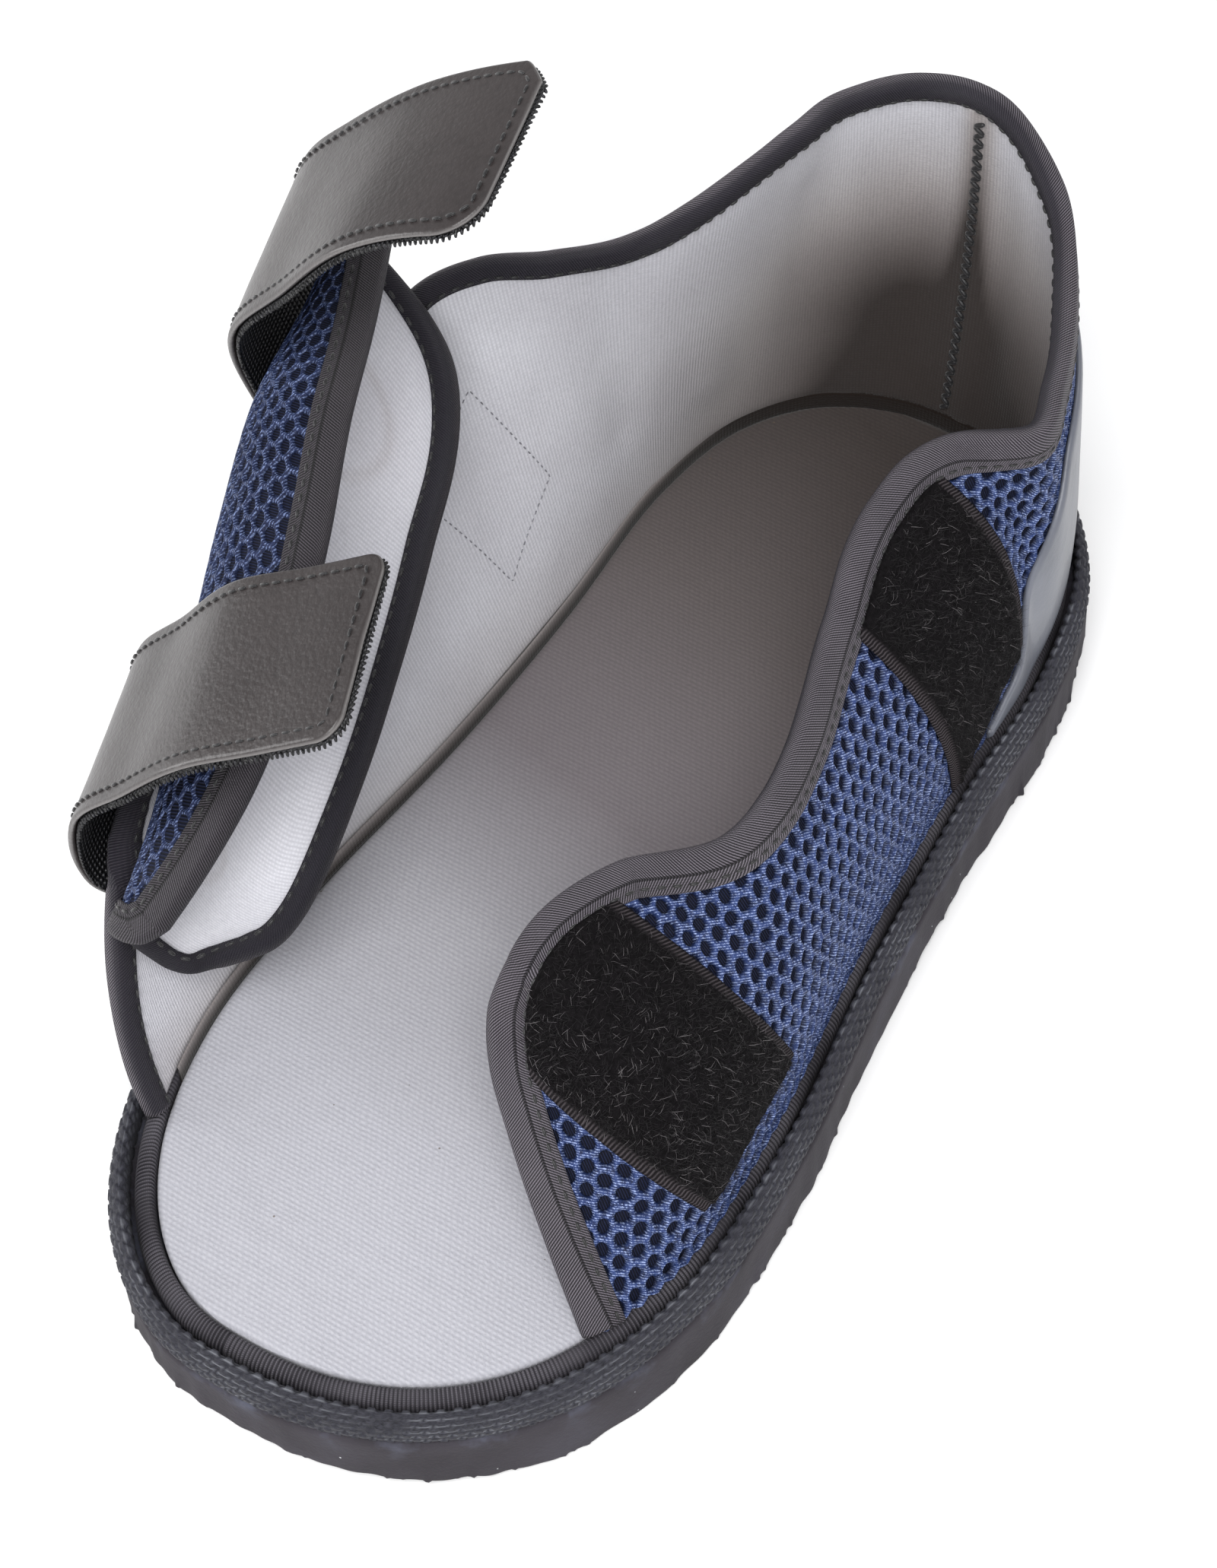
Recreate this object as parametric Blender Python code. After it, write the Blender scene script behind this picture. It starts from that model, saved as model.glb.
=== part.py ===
# Post operative shoe: open toe, two hook and loop straps, one quarter and the tongue laid open.
# Metres, +Z up, toe towards -Y, origin on the floor under the middle of the sole.

import math

import bmesh
import bpy
import numpy as np

# Driving sizes
SOLE_LENGTH = 0.285
SOLE_WIDTH = 0.126
OUTSOLE_HEIGHT = 0.0164
FOOTBED_THICKNESS = 0.0064
TOE_SPRING = 0.0030
TOE_SPRING_LENGTH = 0.048
HEEL_BEVEL = 0.0018
HEEL_BEVEL_LENGTH = 0.030
ARCH_RELIEF = 0.0016
ARCH_START = 0.51              # shares of the sole length from the toe
ARCH_END = 0.66
GROOVES_FROM_TOE = 0.032
GROOVES_FROM_HEEL = 0.020
GROOVE_WIDTH = 0.0030
GROOVE_DEPTH = 0.0015
GROOVE_PITCH = 0.0115
SIDE_STEP = 0.0010

WELT_THICKNESS = 0.0034
WELT_HEIGHT = 0.0088
TAPE_OUTER_INSET = 0.0047
TAPE_INNER_INSET = 0.0090
TAPE_HEIGHT = 0.0068

WALL_THICKNESS = 0.0028
COLLAR_HEIGHT = 0.0932
BINDING_WIDTH = 0.0066
BINDING_THICKNESS = 0.0009
COUNTER_THICKNESS = 0.0012
PATCH_THICKNESS = 0.0018

TONGUE_LENGTH = 0.129
TONGUE_THICKNESS = 0.0040
TONGUE_START = 0.058          # from the toe end of the sole
TONGUE_BINDING_WIDTH = 0.0075

STRAP_WIDTH = 0.0395
STRAP_THICKNESS = 0.0013
HOOK_THICKNESS = 0.0012
CLEARANCE = 0.0003
OVERLAY_SEAT = 0.0005

# Steps of the meshes
RING_STEPS = 64
WALL_STEPS = 84
WALL_RISE_STEPS = 7
PATCH_STEPS = 7
OVERLAY_FOOT = 0.02           # rise where the pieces laid on the upper start
BINDING_FOOT = 0.11           # rise where its binding starts

WALL_INSET = TAPE_INNER_INSET - WALL_THICKNESS / 2
WALL_FOOT = OUTSOLE_HEIGHT + CLEARANCE + TAPE_HEIGHT + CLEARANCE

# Sole outline: way from toe to heel, fullness of the half width, shift of the middle as a share of the width
OUTLINE_ROWS = (
    (0.0, 0.862, -0.020),
    (0.1, 1.091, 0.017),
    (0.2, 1.177, 0.036),
    (0.3, 1.141, 0.041),
    (0.4, 1.022, 0.035),
    (0.5, 0.910, 0.022),
    (0.6, 0.905, 0.007),
    (0.7, 1.013, -0.008),
    (0.8, 1.084, -0.018),
    (0.9, 1.005, -0.019),
    (1.0, 0.682, -0.008),
)

# Upper, one row for each rib from the right front edge round the heel to the left front edge.
# turn: place round the sole from the toe, lean: inward share of the sole width,
# shift: share of the sole length towards the heel, height: share of the collar height,
# pull: share of the lean that the bend of the rib has, belly: outward share of the sole width,
# shoulder: height of the bend as a share of the rib
UPPER_ROWS = (
    (0.114, 0.325, 0.037, 0.385, 0.50, 0.00, 0.50),
    (0.130, 0.355, 0.046, 0.421, 0.34, 0.00, 0.62),
    (0.146, 0.368, 0.052, 0.453, 0.18, 0.01, 0.72),
    (0.162, 0.364, 0.058, 0.489, 0.08, 0.02, 0.76),
    (0.182, 0.339, 0.052, 0.511, 0.08, 0.02, 0.76),
    (0.203, 0.283, 0.042, 0.513, 0.08, 0.02, 0.72),
    (0.229, 0.170, 0.025, 0.516, 0.08, 0.02, 0.64),
    (0.250, 0.136, 0.015, 0.528, 0.08, 0.02, 0.60),
    (0.269, 0.134, 0.006, 0.539, 0.08, 0.02, 0.60),
    (0.309, 0.181, 0.007, 0.559, 0.08, 0.02, 0.62),
    (0.342, 0.208, 0.008, 0.638, 0.08, 0.02, 0.64),
    (0.355, 0.191, 0.012, 0.679, 0.08, 0.02, 0.62),
    (0.367, 0.149, 0.012, 0.698, 0.08, 0.02, 0.60),
    (0.379, 0.079, 0.003, 0.705, 0.50, 0.02, 0.56),
    (0.391, 0.029, -0.009, 0.702, 0.50, 0.02, 0.52),
    (0.410, 0.027, -0.009, 0.721, 0.50, 0.02, 0.50),
    (0.445, 0.022, 0.001, 0.792, 0.50, 0.03, 0.50),
    (0.475, -0.015, -0.002, 0.891, 0.50, 0.04, 0.50),
    (0.507, -0.036, -0.003, 0.990, 0.50, 0.05, 0.50),
    (0.530, -0.026, 0.002, 0.973, 0.50, 0.04, 0.50),
    (0.552, 0.030, 0.005, 0.972, 0.50, 0.03, 0.50),
    (0.584, 0.097, 0.018, 0.952, 0.50, 0.02, 0.50),
    (0.606, 0.091, 0.008, 0.916, 0.50, 0.02, 0.50),
    (0.626, 0.055, -0.000, 0.867, 0.50, 0.02, 0.50),
    (0.645, -0.017, 0.009, 0.799, 0.50, 0.01, 0.50),
    (0.667, -0.100, 0.018, 0.821, 0.50, 0.00, 0.50),
    (0.689, -0.195, 0.036, 0.838, 0.50, 0.00, 0.50),
    (0.708, -0.262, 0.040, 0.800, 0.50, 0.00, 0.50),
    (0.728, -0.258, 0.020, 0.700, 0.50, 0.00, 0.50),
    (0.748, -0.222, 0.004, 0.600, 0.50, 0.00, 0.50),
    (0.772, -0.185, -0.005, 0.550, 0.50, 0.00, 0.50),
    (0.800, -0.165, -0.006, 0.550, 0.50, 0.00, 0.50),
    (0.830, -0.160, 0.004, 0.530, 0.50, 0.00, 0.50),
    (0.856, -0.165, 0.026, 0.470, 0.50, 0.00, 0.50),
    (0.884, -0.185, 0.080, 0.410, 0.50, 0.00, 0.50),
    (0.911, -0.225, 0.140, 0.350, 0.50, 0.00, 0.50),
)

# Tongue, one row for each section from its toe end to its heel end, open towards the right.
# way: share of the tongue length; the near rim is the upper one and the far rim the lower one:
# across: share of the sole width, along: share of the tongue length, height: share of the collar height;
# curl: reach of the fold to the left, share of the sole width
TONGUE_ROWS = (
    (0.00, -0.373, -0.008, 0.455, -0.302, 0.093, 0.240, 0.16, 0.00),
    (0.14, -0.330, 0.116, 0.640, -0.275, 0.155, 0.290, 0.23, -0.02),
    (0.33, -0.336, 0.279, 0.817, -0.284, 0.326, 0.441, 0.293, -0.017),
    (0.52, -0.402, 0.465, 0.930, -0.337, 0.512, 0.525, 0.303, 0.034),
    (0.70, -0.480, 0.636, 0.999, -0.395, 0.682, 0.605, 0.28, 0.07),
    (0.87, -0.560, 0.814, 1.020, -0.462, 0.860, 0.715, 0.21, 0.06),
    (1.00, -0.622, 0.945, 1.055, -0.555, 0.990, 0.900, 0.14, 0.04),
)

TONGUE_CORNER = 0.05

# Heel counter: turn and the rise of its upper edge
COUNTER_ROWS = (
    (0.345, 0.05),
    (0.356, 0.09),
    (0.366, 0.16),
    (0.374, 0.33),
    (0.384, 0.47),
    (0.394, 0.62),
    (0.410, 0.74),
    (0.450, 0.71),
    (0.507, 0.63),
    (0.560, 0.62),
    (0.610, 0.58),
    (0.640, 0.42),
    (0.658, 0.20),
    (0.675, 0.06),
)

# Loop patches: turn and rise of the two lower corners, front and rear, and the shares of the way
# along the upper's free edge, from its right foot to its left foot, that the upper corners lie at
PATCH_FRONT = ((0.160, 0.136), (0.213, 0.209), 0.078, 0.150)
PATCH_REAR = ((0.324, 0.020), (0.3665, 0.229), 0.274, 0.342)

STRAP_CORNER = 0.006
STRAP_STEPS = 16
STRAP_SEAT = 0.0005

# Strap bases on the outside of the left quarter, one row from the lower end up: turn and rise of the middle,
# and how far the heel side of the strap lies from the middle, in turn and in rise
BASE_FRONT_ROWS = (
    (0.835, 0.10, -0.0280, 0.000),
    (0.835, 0.22, -0.0280, 0.000),
    (0.835, 0.34, -0.0280, 0.000),
)
BASE_REAR_ROWS = (
    (0.697, 0.28, -0.0192, 0.131),
    (0.705, 0.46, -0.0192, 0.131),
    (0.713, 0.62, -0.0192, 0.131),
)
# Free part of each strap, one row for each place along its middle line up to the tip.
# across: share of the sole width, along: share of the sole length from the toe,
# height: share of the collar height, swing and tilt: way of the strap's width in degrees
STRAP_FRONT_ROWS = (
    (-0.594, 0.283, 0.342, 11, 7),
    (-0.594, 0.277, 0.552, 18, 5),
    (-0.487, 0.281, 0.741, 23, 2),
    (-0.383, 0.290, 0.902, 32, 0),
    (-0.265, 0.304, 1.001, 39, -3),
    (-0.149, 0.320, 1.097, 45, -7),
)
STRAP_REAR_ROWS = (
    (-0.652, 0.600, 0.683, 5, 23),
    (-0.718, 0.577, 0.924, 12, 16),
    (-0.693, 0.557, 1.148, 15, 9),
    (-0.572, 0.550, 1.358, 18, 8),
    (-0.434, 0.551, 1.547, 16, 5),
    (-0.236, 0.559, 1.697, 15, 8),
)


def smooth_through(knots, values, at):
    """Cubic through the rows, each slope taken from the neighbouring rows."""
    knots = np.asarray(knots, float)
    values = np.asarray(values, float)
    slopes = np.gradient(values, knots, axis=0, edge_order=2)
    at = np.asarray(at, float)
    cell = np.clip(np.searchsorted(knots, at, side="right") - 1, 0, len(knots) - 2)
    width = (knots[cell + 1] - knots[cell])[..., None]
    t = (at - knots[cell])[..., None] / width
    return ((1 + 2 * t) * (1 - t) ** 2 * values[cell] + t * (1 - t) ** 2 * width * slopes[cell]
            + t * t * (3 - 2 * t) * values[cell + 1] + t * t * (t - 1) * width * slopes[cell + 1])


def make_outline():
    """Points of the sole's edge at equal steps round it from the toe tip, heel after the right side."""
    rows = np.array(OUTLINE_ROWS)
    way = np.linspace(0, 1, 401)
    fullness, middle = smooth_through(rows[:, 0], rows[:, 1:], way).T
    half = np.sin(math.pi * way) ** 0.72 * fullness * SOLE_WIDTH / 2
    along = -SOLE_LENGTH / 2 * np.cos(math.pi * way)
    right = np.column_stack((middle * SOLE_WIDTH + half, along))
    left = np.column_stack((middle * SOLE_WIDTH - half, along))
    loop = np.vstack((right, left[::-1][1:]))
    walked = np.r_[0, np.cumsum(np.hypot(*np.diff(loop, axis=0).T))]
    turns = np.linspace(0, 1, 721)
    points = np.column_stack([np.interp(turns, walked / walked[-1], loop[:, k]) for k in (0, 1)])
    tangents = np.gradient(points, axis=0)
    tangents[0] = tangents[-1] = points[1] - points[-2]
    tangents /= np.linalg.norm(tangents, axis=1)[:, None]
    outward = np.column_stack((tangents[:, 1], -tangents[:, 0]))
    return turns, points, outward


TURNS, EDGE, EDGE_OUT = make_outline()


def rim(turn, inset):
    """Place on the sole's edge line drawn in by an inset, and the way out from there."""
    turn = np.asarray(turn, float) % 1.0
    point = np.stack([np.interp(turn, TURNS, EDGE[:, k]) for k in (0, 1)], axis=-1)
    outward = np.stack([np.interp(turn, TURNS, EDGE_OUT[:, k]) for k in (0, 1)], axis=-1)
    return point - outward * np.asarray(inset)[..., None], outward


def bend(start, middle, end, t):
    """Quadratic curve from start to end, drawn towards the middle point."""
    t = t[..., None]
    return start * (1 - t) ** 2 + 2 * middle * t * (1 - t) + end * t * t


def upper_at(turn, rise):
    """Middle surface of the upper: a rib curve from the tape ring to the top line at each turn."""
    turn, rise = np.broadcast_arrays(np.asarray(turn, float), np.asarray(rise, float))
    rows = np.array(UPPER_ROWS)
    lean, shift, height, pull, belly, shoulder = np.moveaxis(
        smooth_through(rows[:, 0], rows[:, 1:], turn), -1, 0)
    foot, outward = rim(turn, np.full(turn.shape, WALL_INSET))
    tall = height * COLLAR_HEIGHT
    back = np.stack((np.zeros_like(shift), shift * SOLE_LENGTH), axis=-1)
    inward = -outward * (lean * SOLE_WIDTH)[..., None]
    reach = inward + back
    pull = pull[..., None]
    knee = foot + inward * pull + back * pull ** 2 + outward * (belly * SOLE_WIDTH)[..., None]
    floor = np.full(turn.shape, WALL_FOOT)
    start = np.concatenate((foot, floor[..., None]), axis=-1)
    middle = np.concatenate((knee, (floor + shoulder * tall)[..., None]), axis=-1)
    end = np.concatenate((foot + reach, (floor + tall)[..., None]), axis=-1)
    return bend(start, middle, end, rise)


def tongue_at(way, cross):
    """Middle surface of the tongue: a section folded to the left, from the near rim to the far rim."""
    way, cross = np.broadcast_arrays(np.asarray(way, float), np.asarray(cross, float))
    rows = np.array(TONGUE_ROWS)
    row = smooth_through(rows[:, 0], rows[:, 1:], way)
    start_y = -SOLE_LENGTH / 2 + TONGUE_START
    scale = np.array((SOLE_WIDTH, TONGUE_LENGTH, COLLAR_HEIGHT))
    origin = np.array((0.0, start_y, WALL_FOOT))
    near = origin + row[..., 0:3] * scale
    far = origin + row[..., 3:6] * scale
    reach = row[..., 6:7] * SOLE_WIDTH
    lift = row[..., 7:8] * COLLAR_HEIGHT
    left = np.array((-1.0, 0.0, 0.0))
    up = np.array((0.0, 0.0, 1.0))
    near_pull = near + reach * left + lift * up
    far_pull = far + reach * left - lift * up
    t = cross[..., None]
    return (near * (1 - t) ** 3 + 3 * near_pull * t * (1 - t) ** 2
            + 3 * far_pull * t * t * (1 - t) + far * t ** 3)


def slopes(surface, u, v):
    """Both slopes of a surface function by small differences."""
    step = 1e-4
    along_u = (surface(u + step, v) - surface(u - step, v)) / (2 * step)
    along_v = (surface(u, v + step) - surface(u, v - step)) / (2 * step)
    return along_u, along_v


def unit(vectors):
    return vectors / np.linalg.norm(vectors, axis=-1, keepdims=True)


def normal_at(surface, u, v):
    along_u, along_v = slopes(surface, u, v)
    return unit(np.cross(along_u, along_v))


def walk_in(surface, u, v, heading, distance, steps=4):
    """Walk over a surface from (u, v) in a world direction, for a distance, in a few steps."""
    for _ in range(steps):
        along_u, along_v = slopes(surface, u, v)
        uu = np.sum(along_u * along_u, axis=-1)
        vv = np.sum(along_v * along_v, axis=-1)
        uv = np.sum(along_u * along_v, axis=-1)
        hu = np.sum(heading * along_u, axis=-1)
        hv = np.sum(heading * along_v, axis=-1)
        below = uu * vv - uv * uv
        du = (hu * vv - hv * uv) / below
        dv = (hv * uu - hu * uv) / below
        length = np.linalg.norm(along_u * du[..., None] + along_v * dv[..., None], axis=-1)
        u = u + du / length * distance / steps
        v = v + dv / length * distance / steps
    return u, v


def material(name, colour, roughness):
    made = bpy.data.materials.new(name)
    made.use_nodes = True
    shader = made.node_tree.nodes["Principled BSDF"]
    shader.inputs["Base Color"].default_value = (*colour, 1.0)
    shader.inputs["Roughness"].default_value = roughness
    shader.inputs["Metallic"].default_value = 0.0
    return made


def add_mesh(name, points, faces, finish, collection, smooth=True):
    mesh = bpy.data.meshes.new(name)
    mesh.from_pydata([tuple(p) for p in points], [], faces)
    cage = bmesh.new()
    cage.from_mesh(mesh)
    bmesh.ops.recalc_face_normals(cage, faces=cage.faces)
    cage.to_mesh(mesh)
    cage.free()
    mesh.materials.append(finish)
    if smooth:
        mesh.shade_smooth()
        mesh.set_sharp_from_angle(angle=math.radians(40))
    made = bpy.data.objects.new(name, mesh)
    collection.objects.link(made)
    return made


def add_shell(name, outer, inner, finish, collection, closed=False):
    """Solid between two grids of points, rows along the path and columns across it."""
    rows, columns = outer.shape[:2]
    section = np.concatenate((outer, inner[:, ::-1]), axis=1)
    count = 2 * columns
    faces = []
    for i in range(rows if closed else rows - 1):
        a, b = i * count, (i + 1) % rows * count
        for j in range(count):
            k = (j + 1) % count
            quad = (a + j, a + k, b + k, b + j)
            # the inner side starts one corner on, so that both sides fold along the same diagonals
            faces.append(quad if j < columns else quad[1:] + quad[:1])
    if not closed:
        for a in (0, (rows - 1) * count):
            for j in range(columns - 1):
                faces.append((a + j, a + j + 1, a + count - 2 - j, a + count - 1 - j))
    return add_mesh(name, section.reshape(-1, 3), faces, finish, collection)


def ring_points(inset, height, turns):
    points, _ = rim(turns, np.full(turns.shape, inset))
    return np.column_stack((points, np.full(len(turns), height)))


def add_slab(name, levels, finish, collection):
    """Solid of stacked sole outlines, each level an inset and a height, flat below and above."""
    turns = np.arange(RING_STEPS) / RING_STEPS
    points = np.concatenate([ring_points(inset, height, turns) for inset, height in levels])
    faces = []
    for level in range(len(levels) - 1):
        a, b = level * RING_STEPS, (level + 1) * RING_STEPS
        for j in range(RING_STEPS):
            k = (j + 1) % RING_STEPS
            faces.append((a + j, a + k, b + k, b + j))
    faces.append(tuple(range(RING_STEPS))[::-1])
    faces.append(tuple(range((len(levels) - 1) * RING_STEPS, len(levels) * RING_STEPS)))
    return add_mesh(name, points, faces, finish, collection)


def add_ring(name, outer, inner, finish, collection):
    """Closed band round the sole between an outer and an inner profile of (inset, height) points."""
    turns = np.arange(RING_STEPS) / RING_STEPS
    sides = [np.stack([ring_points(inset, height, turns) for inset, height in side], axis=1)
             for side in (outer, inner)]
    return add_shell(name, sides[0], sides[1], finish, collection, closed=True)


def add_channel(name, surface, path_u, path_v, facing, half, width, finish, collection, closed=False):
    """Tape folded over the edge of a sheet: an edge path on its surface, wrapped by a channel.

    facing is 1 or -1, the side of the path that the sheet lies on."""
    edge = surface(path_u, path_v)
    if closed:
        tangent = unit(np.roll(edge, -1, axis=0) - np.roll(edge, 1, axis=0))
    else:
        tangent = unit(np.gradient(edge, axis=0))
    normal = normal_at(surface, path_u, path_v)
    heading = unit(np.cross(normal, tangent)) * facing
    gap = half + OVERLAY_SEAT
    skin = gap + BINDING_THICKNESS
    lip = OVERLAY_SEAT + BINDING_THICKNESS

    def place(inward, height):
        if inward > 0:
            u, v = walk_in(surface, path_u, path_v, heading, inward)
            return surface(u, v) + normal_at(surface, u, v) * height
        return edge + heading * inward + normal * height

    outer = [(width, skin), (0.0, skin), (-lip, 0.4 * skin), (-lip, -0.4 * skin), (0.0, -skin), (width, -skin)]
    inner = [(width, gap), (0.5 * width, gap), (-OVERLAY_SEAT, gap),
             (-OVERLAY_SEAT, -gap), (0.5 * width, -gap), (width, -gap)]
    outer = np.stack([place(*point) for point in outer], axis=1)
    inner = np.stack([place(*point) for point in inner], axis=1)
    return add_shell(name, outer, inner, finish, collection, closed)


def add_overlay(name, turn, rise, thickness, finish, collection):
    """Piece laid on the outside of the upper over a grid of places on it."""
    middle = upper_at(turn, rise)
    outward = normal_at(upper_at, turn, rise)
    low = WALL_THICKNESS / 2 + OVERLAY_SEAT
    return add_shell(name, middle + outward * (low + thickness), middle + outward * low, finish, collection)


def make_sole(collection, cutters, foam, webbing, tape, knit):
    outsole = add_slab("outsole", (
        (SIDE_STEP, 0.0),
        (0.0, SIDE_STEP),
        (0.0, OUTSOLE_HEIGHT - SIDE_STEP),
        (SIDE_STEP, OUTSOLE_HEIGHT),
    ), foam, collection)
    cut_underside(outsole, cutters)
    foot = OUTSOLE_HEIGHT + CLEARANCE
    inner = WELT_THICKNESS
    add_ring("welt_webbing", (
        (0.0006, foot),
        (0.0000, foot + 0.35 * WELT_HEIGHT),
        (0.0007, foot + 0.78 * WELT_HEIGHT),
        (0.0019, foot + WELT_HEIGHT),
    ), (
        (inner, foot),
        (inner, foot + 0.30 * WELT_HEIGHT),
        (inner, foot + 0.65 * WELT_HEIGHT),
        (inner - 0.0004, foot + 0.94 * WELT_HEIGHT),
    ), webbing, collection)
    top = foot + TAPE_HEIGHT
    add_ring("rand_tape", (
        (TAPE_OUTER_INSET, foot),
        (TAPE_OUTER_INSET, top - 0.0009),
        (TAPE_OUTER_INSET + 0.0008, top),
    ), (
        (TAPE_INNER_INSET, foot),
        (TAPE_INNER_INSET, foot + 0.5 * TAPE_HEIGHT),
        (TAPE_INNER_INSET, top),
    ), tape, collection)
    side = TAPE_INNER_INSET + CLEARANCE
    add_slab("insole", (
        (side, foot),
        (side, foot + FOOTBED_THICKNESS - 0.0008),
        (side + 0.0010, foot + FOOTBED_THICKNESS),
    ), knit, collection)


def cut_underside(outsole, cutters):
    """Toe spring, arch relief, heel bevel and cross grooves, cut from below."""
    toe = -SOLE_LENGTH / 2
    heel = SOLE_LENGTH / 2
    below = -0.01
    profile = [(toe - 0.01, below)]
    for share in np.linspace(-0.2, 1, 7):
        profile.append((toe + share * TOE_SPRING_LENGTH, TOE_SPRING * (1 - share) ** 2))
    arch_start, arch_end = toe + ARCH_START * SOLE_LENGTH, toe + ARCH_END * SOLE_LENGTH
    for share in np.linspace(0, 1, 7):
        along = arch_start + share * (arch_end - arch_start)
        profile.append((along, ARCH_RELIEF * math.sin(math.pi * share) ** 2))
    for share in np.linspace(0, 1.2, 5):
        profile.append((heel - HEEL_BEVEL_LENGTH * (1 - share), HEEL_BEVEL * share ** 2))
    profile.append((heel + 0.01, below))
    lowered = [(y, z if z > 1e-6 or z == below else -1e-4) for y, z in profile]
    cutter = add_prism("underside_cutter", lowered, cutters)
    subtract(outsole, cutter)
    run = SOLE_LENGTH - GROOVES_FROM_TOE - GROOVES_FROM_HEEL
    for number in range(int(run / GROOVE_PITCH) + 1):
        along = toe + GROOVES_FROM_TOE + number * GROOVE_PITCH
        if arch_start - GROOVE_WIDTH < along < arch_end + GROOVE_WIDTH:
            continue
        groove = add_prism("groove_cutter_%02d" % number, [
            (along - GROOVE_WIDTH / 2, below),
            (along - GROOVE_WIDTH / 2, GROOVE_DEPTH),
            (along + GROOVE_WIDTH / 2, GROOVE_DEPTH),
            (along + GROOVE_WIDTH / 2, below),
        ], cutters)
        subtract(outsole, groove)


def add_prism(name, outline, cutters):
    """Cutter across the whole sole from an outline of (y, z) points."""
    count = len(outline)
    points = [(side * SOLE_WIDTH, y, z) for side in (-1, 1) for y, z in outline]
    faces = [tuple(range(count)), tuple(range(2 * count - 1, count - 1, -1))]
    for j in range(count):
        k = (j + 1) % count
        faces.append((j, j + count, k + count, k))
    mesh = bpy.data.meshes.new(name)
    mesh.from_pydata(points, [], faces)
    cage = bmesh.new()
    cage.from_mesh(mesh)
    bmesh.ops.recalc_face_normals(cage, faces=cage.faces)
    cage.to_mesh(mesh)
    cage.free()
    made = bpy.data.objects.new(name, mesh)
    made.hide_render = True
    made.display_type = "WIRE"
    cutters.objects.link(made)
    return made


def subtract(body, cutter):
    cut = body.modifiers.new(cutter.name, "BOOLEAN")
    cut.operation = "DIFFERENCE"
    cut.object = cutter


def wall_turns():
    """Turns of the ribs of the wall's mesh."""
    return np.linspace(UPPER_ROWS[0][0], UPPER_ROWS[-1][0], WALL_STEPS)


def free_edge():
    """Places along the upper's free edge, up the right front rib, round the top line and down the left."""
    turns = wall_turns()
    rises = np.linspace(BINDING_FOOT, 1, 9)
    path_turn = np.concatenate((np.full(8, turns[0]), turns, np.full(8, turns[-1])))
    path_rise = np.concatenate((rises[:-1], np.ones(len(turns)), rises[:-1][::-1]))
    return path_turn, path_rise


def under_binding(shares):
    """Places on the upper just inside the binding, at shares of the way along the free edge."""
    path_turn, path_rise = free_edge()
    edge = upper_at(path_turn, path_rise)
    tangent = unit(np.gradient(edge, axis=0))
    heading = unit(np.cross(tangent, normal_at(upper_at, path_turn, path_rise)))
    turn, rise = walk_in(upper_at, path_turn, path_rise, heading, BINDING_WIDTH + 2 * CLEARANCE)
    walked = np.r_[0, np.cumsum(np.linalg.norm(np.diff(edge, axis=0), axis=-1))]
    return np.interp(shares, walked / walked[-1], turn), np.interp(shares, walked / walked[-1], rise)


def make_upper(collection, mesh_cloth, tape, rubber, pile):
    turns = wall_turns()
    turn, rise = np.meshgrid(turns, np.linspace(0, 1, WALL_RISE_STEPS), indexing="ij")
    middle = upper_at(turn, rise)
    outward = normal_at(upper_at, turn, rise)
    level = outward[:, 0] * (1, 1, 0)               # the foot is cut level, to stand on the tape
    outward[:, 0] = level / np.sum(level ** 2, axis=-1, keepdims=True)
    half = WALL_THICKNESS / 2
    add_shell("upper", middle + outward * half, middle - outward * half, mesh_cloth, collection)
    path_turn, path_rise = free_edge()
    add_channel("upper_binding", upper_at, path_turn, path_rise, -1, half, BINDING_WIDTH, tape, collection)

    counter = np.array(COUNTER_ROWS)
    covered = turns[(turns > counter[0, 0]) & (turns < counter[-1, 0])]
    tops = smooth_through(counter[:, 0], counter[:, 1:], covered)
    turn = np.repeat(covered[:, None], 4, axis=1)
    rise = OVERLAY_FOOT + (tops - OVERLAY_FOOT) * np.linspace(0, 1, 4)[None, :]
    add_overlay("heel_counter", turn, rise, COUNTER_THICKNESS, rubber, collection)

    for name, (front_low, rear_low, start, stop) in (
            ("loop_patch_front", PATCH_FRONT), ("loop_patch_rear", PATCH_REAR)):
        across = np.linspace(0, 1, PATCH_STEPS)
        along = np.linspace(0, 1, PATCH_STEPS + 3)
        top = np.stack(under_binding(start + across * (stop - start)), axis=-1)
        low = np.array(front_low) + across[:, None] * (np.array(rear_low) - np.array(front_low))
        places = low[:, None] + along[None, :, None] * (top - low)[:, None]
        add_overlay(name, places[..., 0], places[..., 1], PATCH_THICKNESS, pile, collection)


def make_tongue(collection, mesh_cloth, tape):
    ways, crosses = 26, 12
    cross = np.linspace(0, 1, crosses)[None, :]
    corner = TONGUE_CORNER * np.abs(2 * cross - 1) ** 4
    share = np.linspace(0, 1, ways)[:, None]
    way = corner + share * (1 - 2 * corner)
    cross = np.repeat(cross, ways, axis=0)
    middle = tongue_at(way, cross)
    outward = normal_at(tongue_at, way, cross)
    half = TONGUE_THICKNESS / 2
    add_shell("tongue", middle + outward * half, middle - outward * half, mesh_cloth, collection)
    path = ([(i, 0) for i in range(ways)] + [(ways - 1, j) for j in range(1, crosses)]
            + [(i, crosses - 1) for i in range(ways - 2, -1, -1)] + [(0, j) for j in range(crosses - 2, 0, -1)])
    path_way = np.array([way[i, j] for i, j in path])
    path_cross = np.array([cross[i, j] for i, j in path])
    add_channel("tongue_binding", tongue_at, path_way, path_cross, 1, half, TONGUE_BINDING_WIDTH,
                tape, collection, closed=True)


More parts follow.
